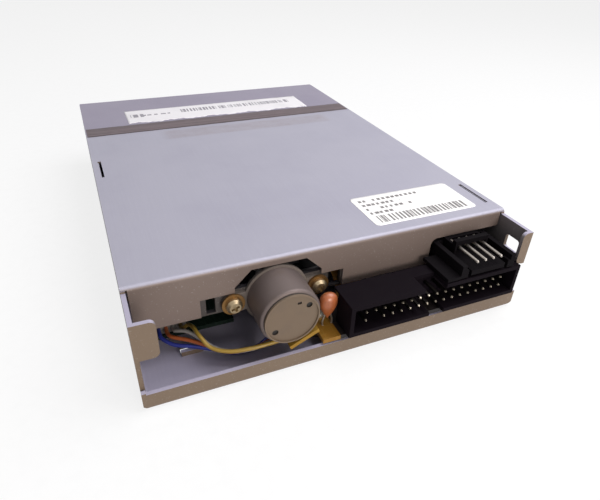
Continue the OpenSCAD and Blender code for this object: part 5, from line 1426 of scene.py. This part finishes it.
@dataclass
class DiskLoader:
    """The holder, the eject slider with its button and springs, the lever and the sensors."""

    spring_x: float = 40.6 * MM
    spring_z: float = 6.0 * MM
    spring_ends: tuple[float, float] = (-48.0 * MM, -25.55 * MM)
    spring_turns: int = 13
    spring_radius: float = 1.45 * MM
    spring_tail: float = 1.5 * MM
    spring_wire: float = 0.25 * MM
    lever_place: Place = (-37 * MM, 18.5 * MM, 18.5 * MM)
    lever_spring_turns: int = 4
    lever_spring_radius: float = 1.98 * MM
    lever_spring_length: float = 3.0 * MM
    lever_spring_wire: float = 0.2 * MM

    def build(self, drive: Drive) -> None:
        """Dresses the loader and winds its springs.

        Args:
            drive: The drive that carries them.
        """
        drive.paint(PlatedSheet("holder_steel", (0.42, 0.42, 0.44), (0.38, 0.38, 0.39)),
                    "disk_holder")
        drive.paint(PlatedSheet("slider_steel", (0.38, 0.38, 0.4), (0.34, 0.34, 0.35)),
                    "eject_slider")
        drive.paint(Moulding("button_plastic", (0.028, 0.027, 0.028), 0.42), "eject_button")
        drive.paint(Moulding("lever_plastic", (0.66, 0.64, 0.55), 0.4), "shutter_lever")
        drive.paint(TurnedMetal("pivot_steel", (0.72, 0.72, 0.7), Axis.Z, 0.2), "lever_pivot")
        drive.paint(Moulding("switch_plastic", (0.035, 0.035, 0.035), 0.45), "sensor_switches")
        drive.paint(Moulding("plunger_plastic", (0.7, 0.7, 0.64), 0.35), "write_protect_plunger",
                    "density_plunger", "disk_plunger")
        drive.paint(Moulding("lamp_lens", (0.16, 0.42, 0.12), 0.2, grain=900.0,
                             depth=0.004 * MM, dust=0.0, coat=0.3), "activity_lamp")
        for node, side in (("left_slider_spring", 1), ("right_slider_spring", -1)):
            self._slider_spring(drive, node, side)
        self._lever_spring(drive)

    def _slider_spring(self, drive: Drive, node: str, side: int) -> None:
        """Winds one tension spring along Y, with a straight tail in line with the axis at each
        end, and stretches it between its lug on the chassis and the one on the slider.

        Args:
            drive: Not used.
            node: The node that it stands for.
            side: 1 at +X and -1 at -X.
        """
        low, high = self.spring_ends
        tail = self.spring_tail
        turns = coil(self.spring_turns, self.spring_radius, high - low - 2 * tail)
        x0 = side * self.spring_x
        body = np.stack([x0 + turns[:, 0], low + tail + turns[:, 2], self.spring_z + turns[:, 1]],
                        axis=1)
        share = np.linspace(0, 1, 5)[:-1, None]
        start = np.array([x0, low + 0.05 * MM, self.spring_z])
        end = np.array([x0, high, self.spring_z])
        path = np.vstack([start + share * (body[0] - start), body,
                          (end + share * (body[-1] - end))[::-1]])
        points, faces = tube(path, self.spring_wire, sides=10, up=(0, 1, 0.02))
        piece = mesh_piece(node + "_wire", points, faces,
                           TurnedMetal("tension_wire", SPRING_TINT, Axis.X, 0.22))
        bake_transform(piece)
        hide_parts(node)
        LOG.info("%s between chassis and slider", piece.name)

    def _lever_spring(self, drive: Drive) -> None:
        """Winds the lever's spring round the top of its pivot: a helix about Z.

        Args:
            drive: The drive that carries it.
        """
        path = np.array(self.lever_place) + coil(self.lever_spring_turns, self.lever_spring_radius,
                                                 self.lever_spring_length)
        points, faces = tube(path, self.lever_spring_wire, sides=10)
        piece = mesh_piece("lever_spring_wire", points, faces,
                           TurnedMetal("lever_wire", SPRING_TINT, Axis.Z, 0.22))
        drive.add(piece, "holder", "spring_steel", "lever_spring")


def seen_rays(tree: bpy.types.NodeTree) -> bpy.types.NodeSocket:
    """Marks the rays that show a background: camera, glossy and transmission rays.

    Args:
        tree: The nodes of the floor's material or of the world.

    Returns:
        The largest of the three marks: 1 for those rays and 0 for every other.
    """
    path = tree.nodes.new("ShaderNodeLightPath")
    seen = path.outputs["Is Camera Ray"]
    for kind in ("Is Glossy Ray", "Is Transmission Ray"):
        larger = tree.nodes.new("ShaderNodeMath")
        larger.operation = "MAXIMUM"
        tree.links.new(seen, larger.inputs[0])
        tree.links.new(path.outputs[kind], larger.inputs[1])
        seen = larger.outputs[0]
    return seen


@dataclass(frozen=True)
class Lamp:
    """A soft square lamp: its side is in metres, its power in watts, and it faces its aim."""

    name: str
    place: Place
    power: float
    side: float
    tint: Colour
    aim: Place = (0.0, 0.02, 0.01)

    def hang(self) -> None:
        """Hangs the lamp with its back turned away from the aim and its right side level."""
        data = bpy.data.lights.new(self.name, "AREA")
        data.energy = self.power
        data.size = self.side
        data.color = self.tint
        back = np.array(self.place) - self.aim
        back /= np.linalg.norm(back)
        right = np.cross([0, 0, 1.0], back)
        right /= np.linalg.norm(right)
        stand(bpy.data.objects.new(self.name, data), self.place, right, np.cross(back, right), back)


@dataclass
class Studio:
    """Camera, lamps, world and the pale floor.

    The camera's place, angles, focal length and image centre were fitted to the photograph, and
    sight is how near and how far it sees. The world lights the drive at the strength daylight and
    shows at the strength white. The floor's own glow has the share floor_glow for the rays that
    show it.
    """

    eye: Place = (51.29 * MM, 148.617 * MM, 89.968 * MM)
    azimuth: float = 155.919
    elevation: float = 33.317
    roll: float = -2.018
    focal_pixels: float = 505.846
    centre_pixels: tuple[float, float] = (296.163, 251.987)
    image: tuple[int, int] = (600, 500)
    sensor: float = 36.0
    sight: tuple[float, float] = (0.005, 20.0)
    daylight: float = 0.32
    white: float = 1.0
    floor_reach: float = 3.0
    floor_gap: float = 0.02 * MM
    floor_glow: float = 0.80
    lamps: tuple[Lamp, ...] = (
        Lamp("key", (-0.19, 0.07, 0.38), 1.75, 0.36, (0.98, 0.97, 1.0)),
        Lamp("fill", (-0.06, 0.46, 0.13), 1.1, 0.16, (1.0, 0.95, 0.90)))

    def build(self) -> None:
        """Sets up everything that isn't part of the drive."""
        self._camera()
        self._world()
        self._floor()
        for lamp in self.lamps:
            lamp.hang()
        bpy.context.scene.view_settings.view_transform = "Standard"

    def _camera(self) -> None:
        """Stands the camera at the photograph's place, turned by azimuth, elevation and roll. Its
        lens and shift follow from the image's focal length and centre in pixels."""
        a, e = math.radians(self.azimuth), math.radians(self.elevation)
        back = np.array([math.sin(a) * math.cos(e), -math.cos(a) * math.cos(e), math.sin(e)])
        right = np.cross(-back, [0, 0, 1])
        right /= np.linalg.norm(right)
        down = np.cross(-back, right)
        c, s = math.cos(math.radians(self.roll)), math.sin(math.radians(self.roll))
        width, height = self.image
        data = bpy.data.cameras.new("camera")
        data.sensor_width = self.sensor
        data.lens = self.sensor * self.focal_pixels / width
        data.shift_x = (width / 2 - self.centre_pixels[0]) / width
        data.shift_y = (self.centre_pixels[1] - height / 2) / width
        data.clip_start, data.clip_end = self.sight
        camera = bpy.data.objects.new("camera", data)
        stand(camera, self.eye, c * right + s * down, s * right - c * down, back)
        bpy.context.scene.camera = camera

    def _world(self) -> None:
        """Lights the scene evenly and shows white where a ray meets nothing."""
        world = bpy.data.worlds.new("studio")
        world.use_nodes = True
        tree = world.node_tree
        background = tree.nodes["Background"]
        strength = tree.nodes.new("ShaderNodeMapRange")
        strength.inputs["To Min"].default_value = self.daylight
        strength.inputs["To Max"].default_value = self.white
        tree.links.new(seen_rays(tree), strength.inputs["Value"])
        tree.links.new(strength.outputs["Result"], background.inputs["Strength"])
        background.inputs["Color"].default_value = (1.0, 1.0, 1.0, 1.0)
        bpy.context.scene.world = world

    def _floor(self) -> None:
        """Lays a wide white floor that glows for the rays that show it and keeps the shadow."""
        corners = np.array([[-1, -1, 0], [1, -1, 0], [1, 1, 0], [-1, 1, 0]])
        points = self.floor_reach * corners - [0, 0, self.floor_gap]
        finish = Moulding("floor_paper", (0.9, 0.9, 0.9), 0.9, grain=400.0, depth=0.0, dust=0.0)
        floor = mesh_piece("floor", points, np.array([[0, 1, 2, 3]]), finish, False)
        tree = floor.data.materials[0].node_tree
        glow = tree.nodes.new("ShaderNodeEmission")
        mix = tree.nodes.new("ShaderNodeMixShader")
        share = tree.nodes.new("ShaderNodeMath")
        share.operation = "MULTIPLY"
        share.inputs[1].default_value = self.floor_glow
        shader = next(n for n in tree.nodes if n.type == "BSDF_PRINCIPLED")
        output = next(n for n in tree.nodes if n.type == "OUTPUT_MATERIAL")
        for source, target in ((seen_rays(tree), share.inputs[0]),
                               (share.outputs[0], mix.inputs[0]),
                               (shader.outputs[0], mix.inputs[1]),
                               (glow.outputs[0], mix.inputs[2]),
                               (mix.outputs[0], output.inputs["Surface"])):
            tree.links.new(source, target)
        floor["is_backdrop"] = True


def main() -> None:
    """Clears the scene, then builds each sub-assembly in order."""
    logging.basicConfig(level=logging.INFO, format="%(message)s")
    for thing in list(bpy.data.objects):
        bpy.data.objects.remove(thing)
    drive = Drive()
    for assembly in (Casing(), StepperMotor(), Electronics(), SpindleDrive(), HeadGroup(),
                     DiskLoader()):
        LOG.info("building %s", type(assembly).__name__)
        assembly.build(drive)
    Studio().build()


if __name__ == "__main__":
    main()
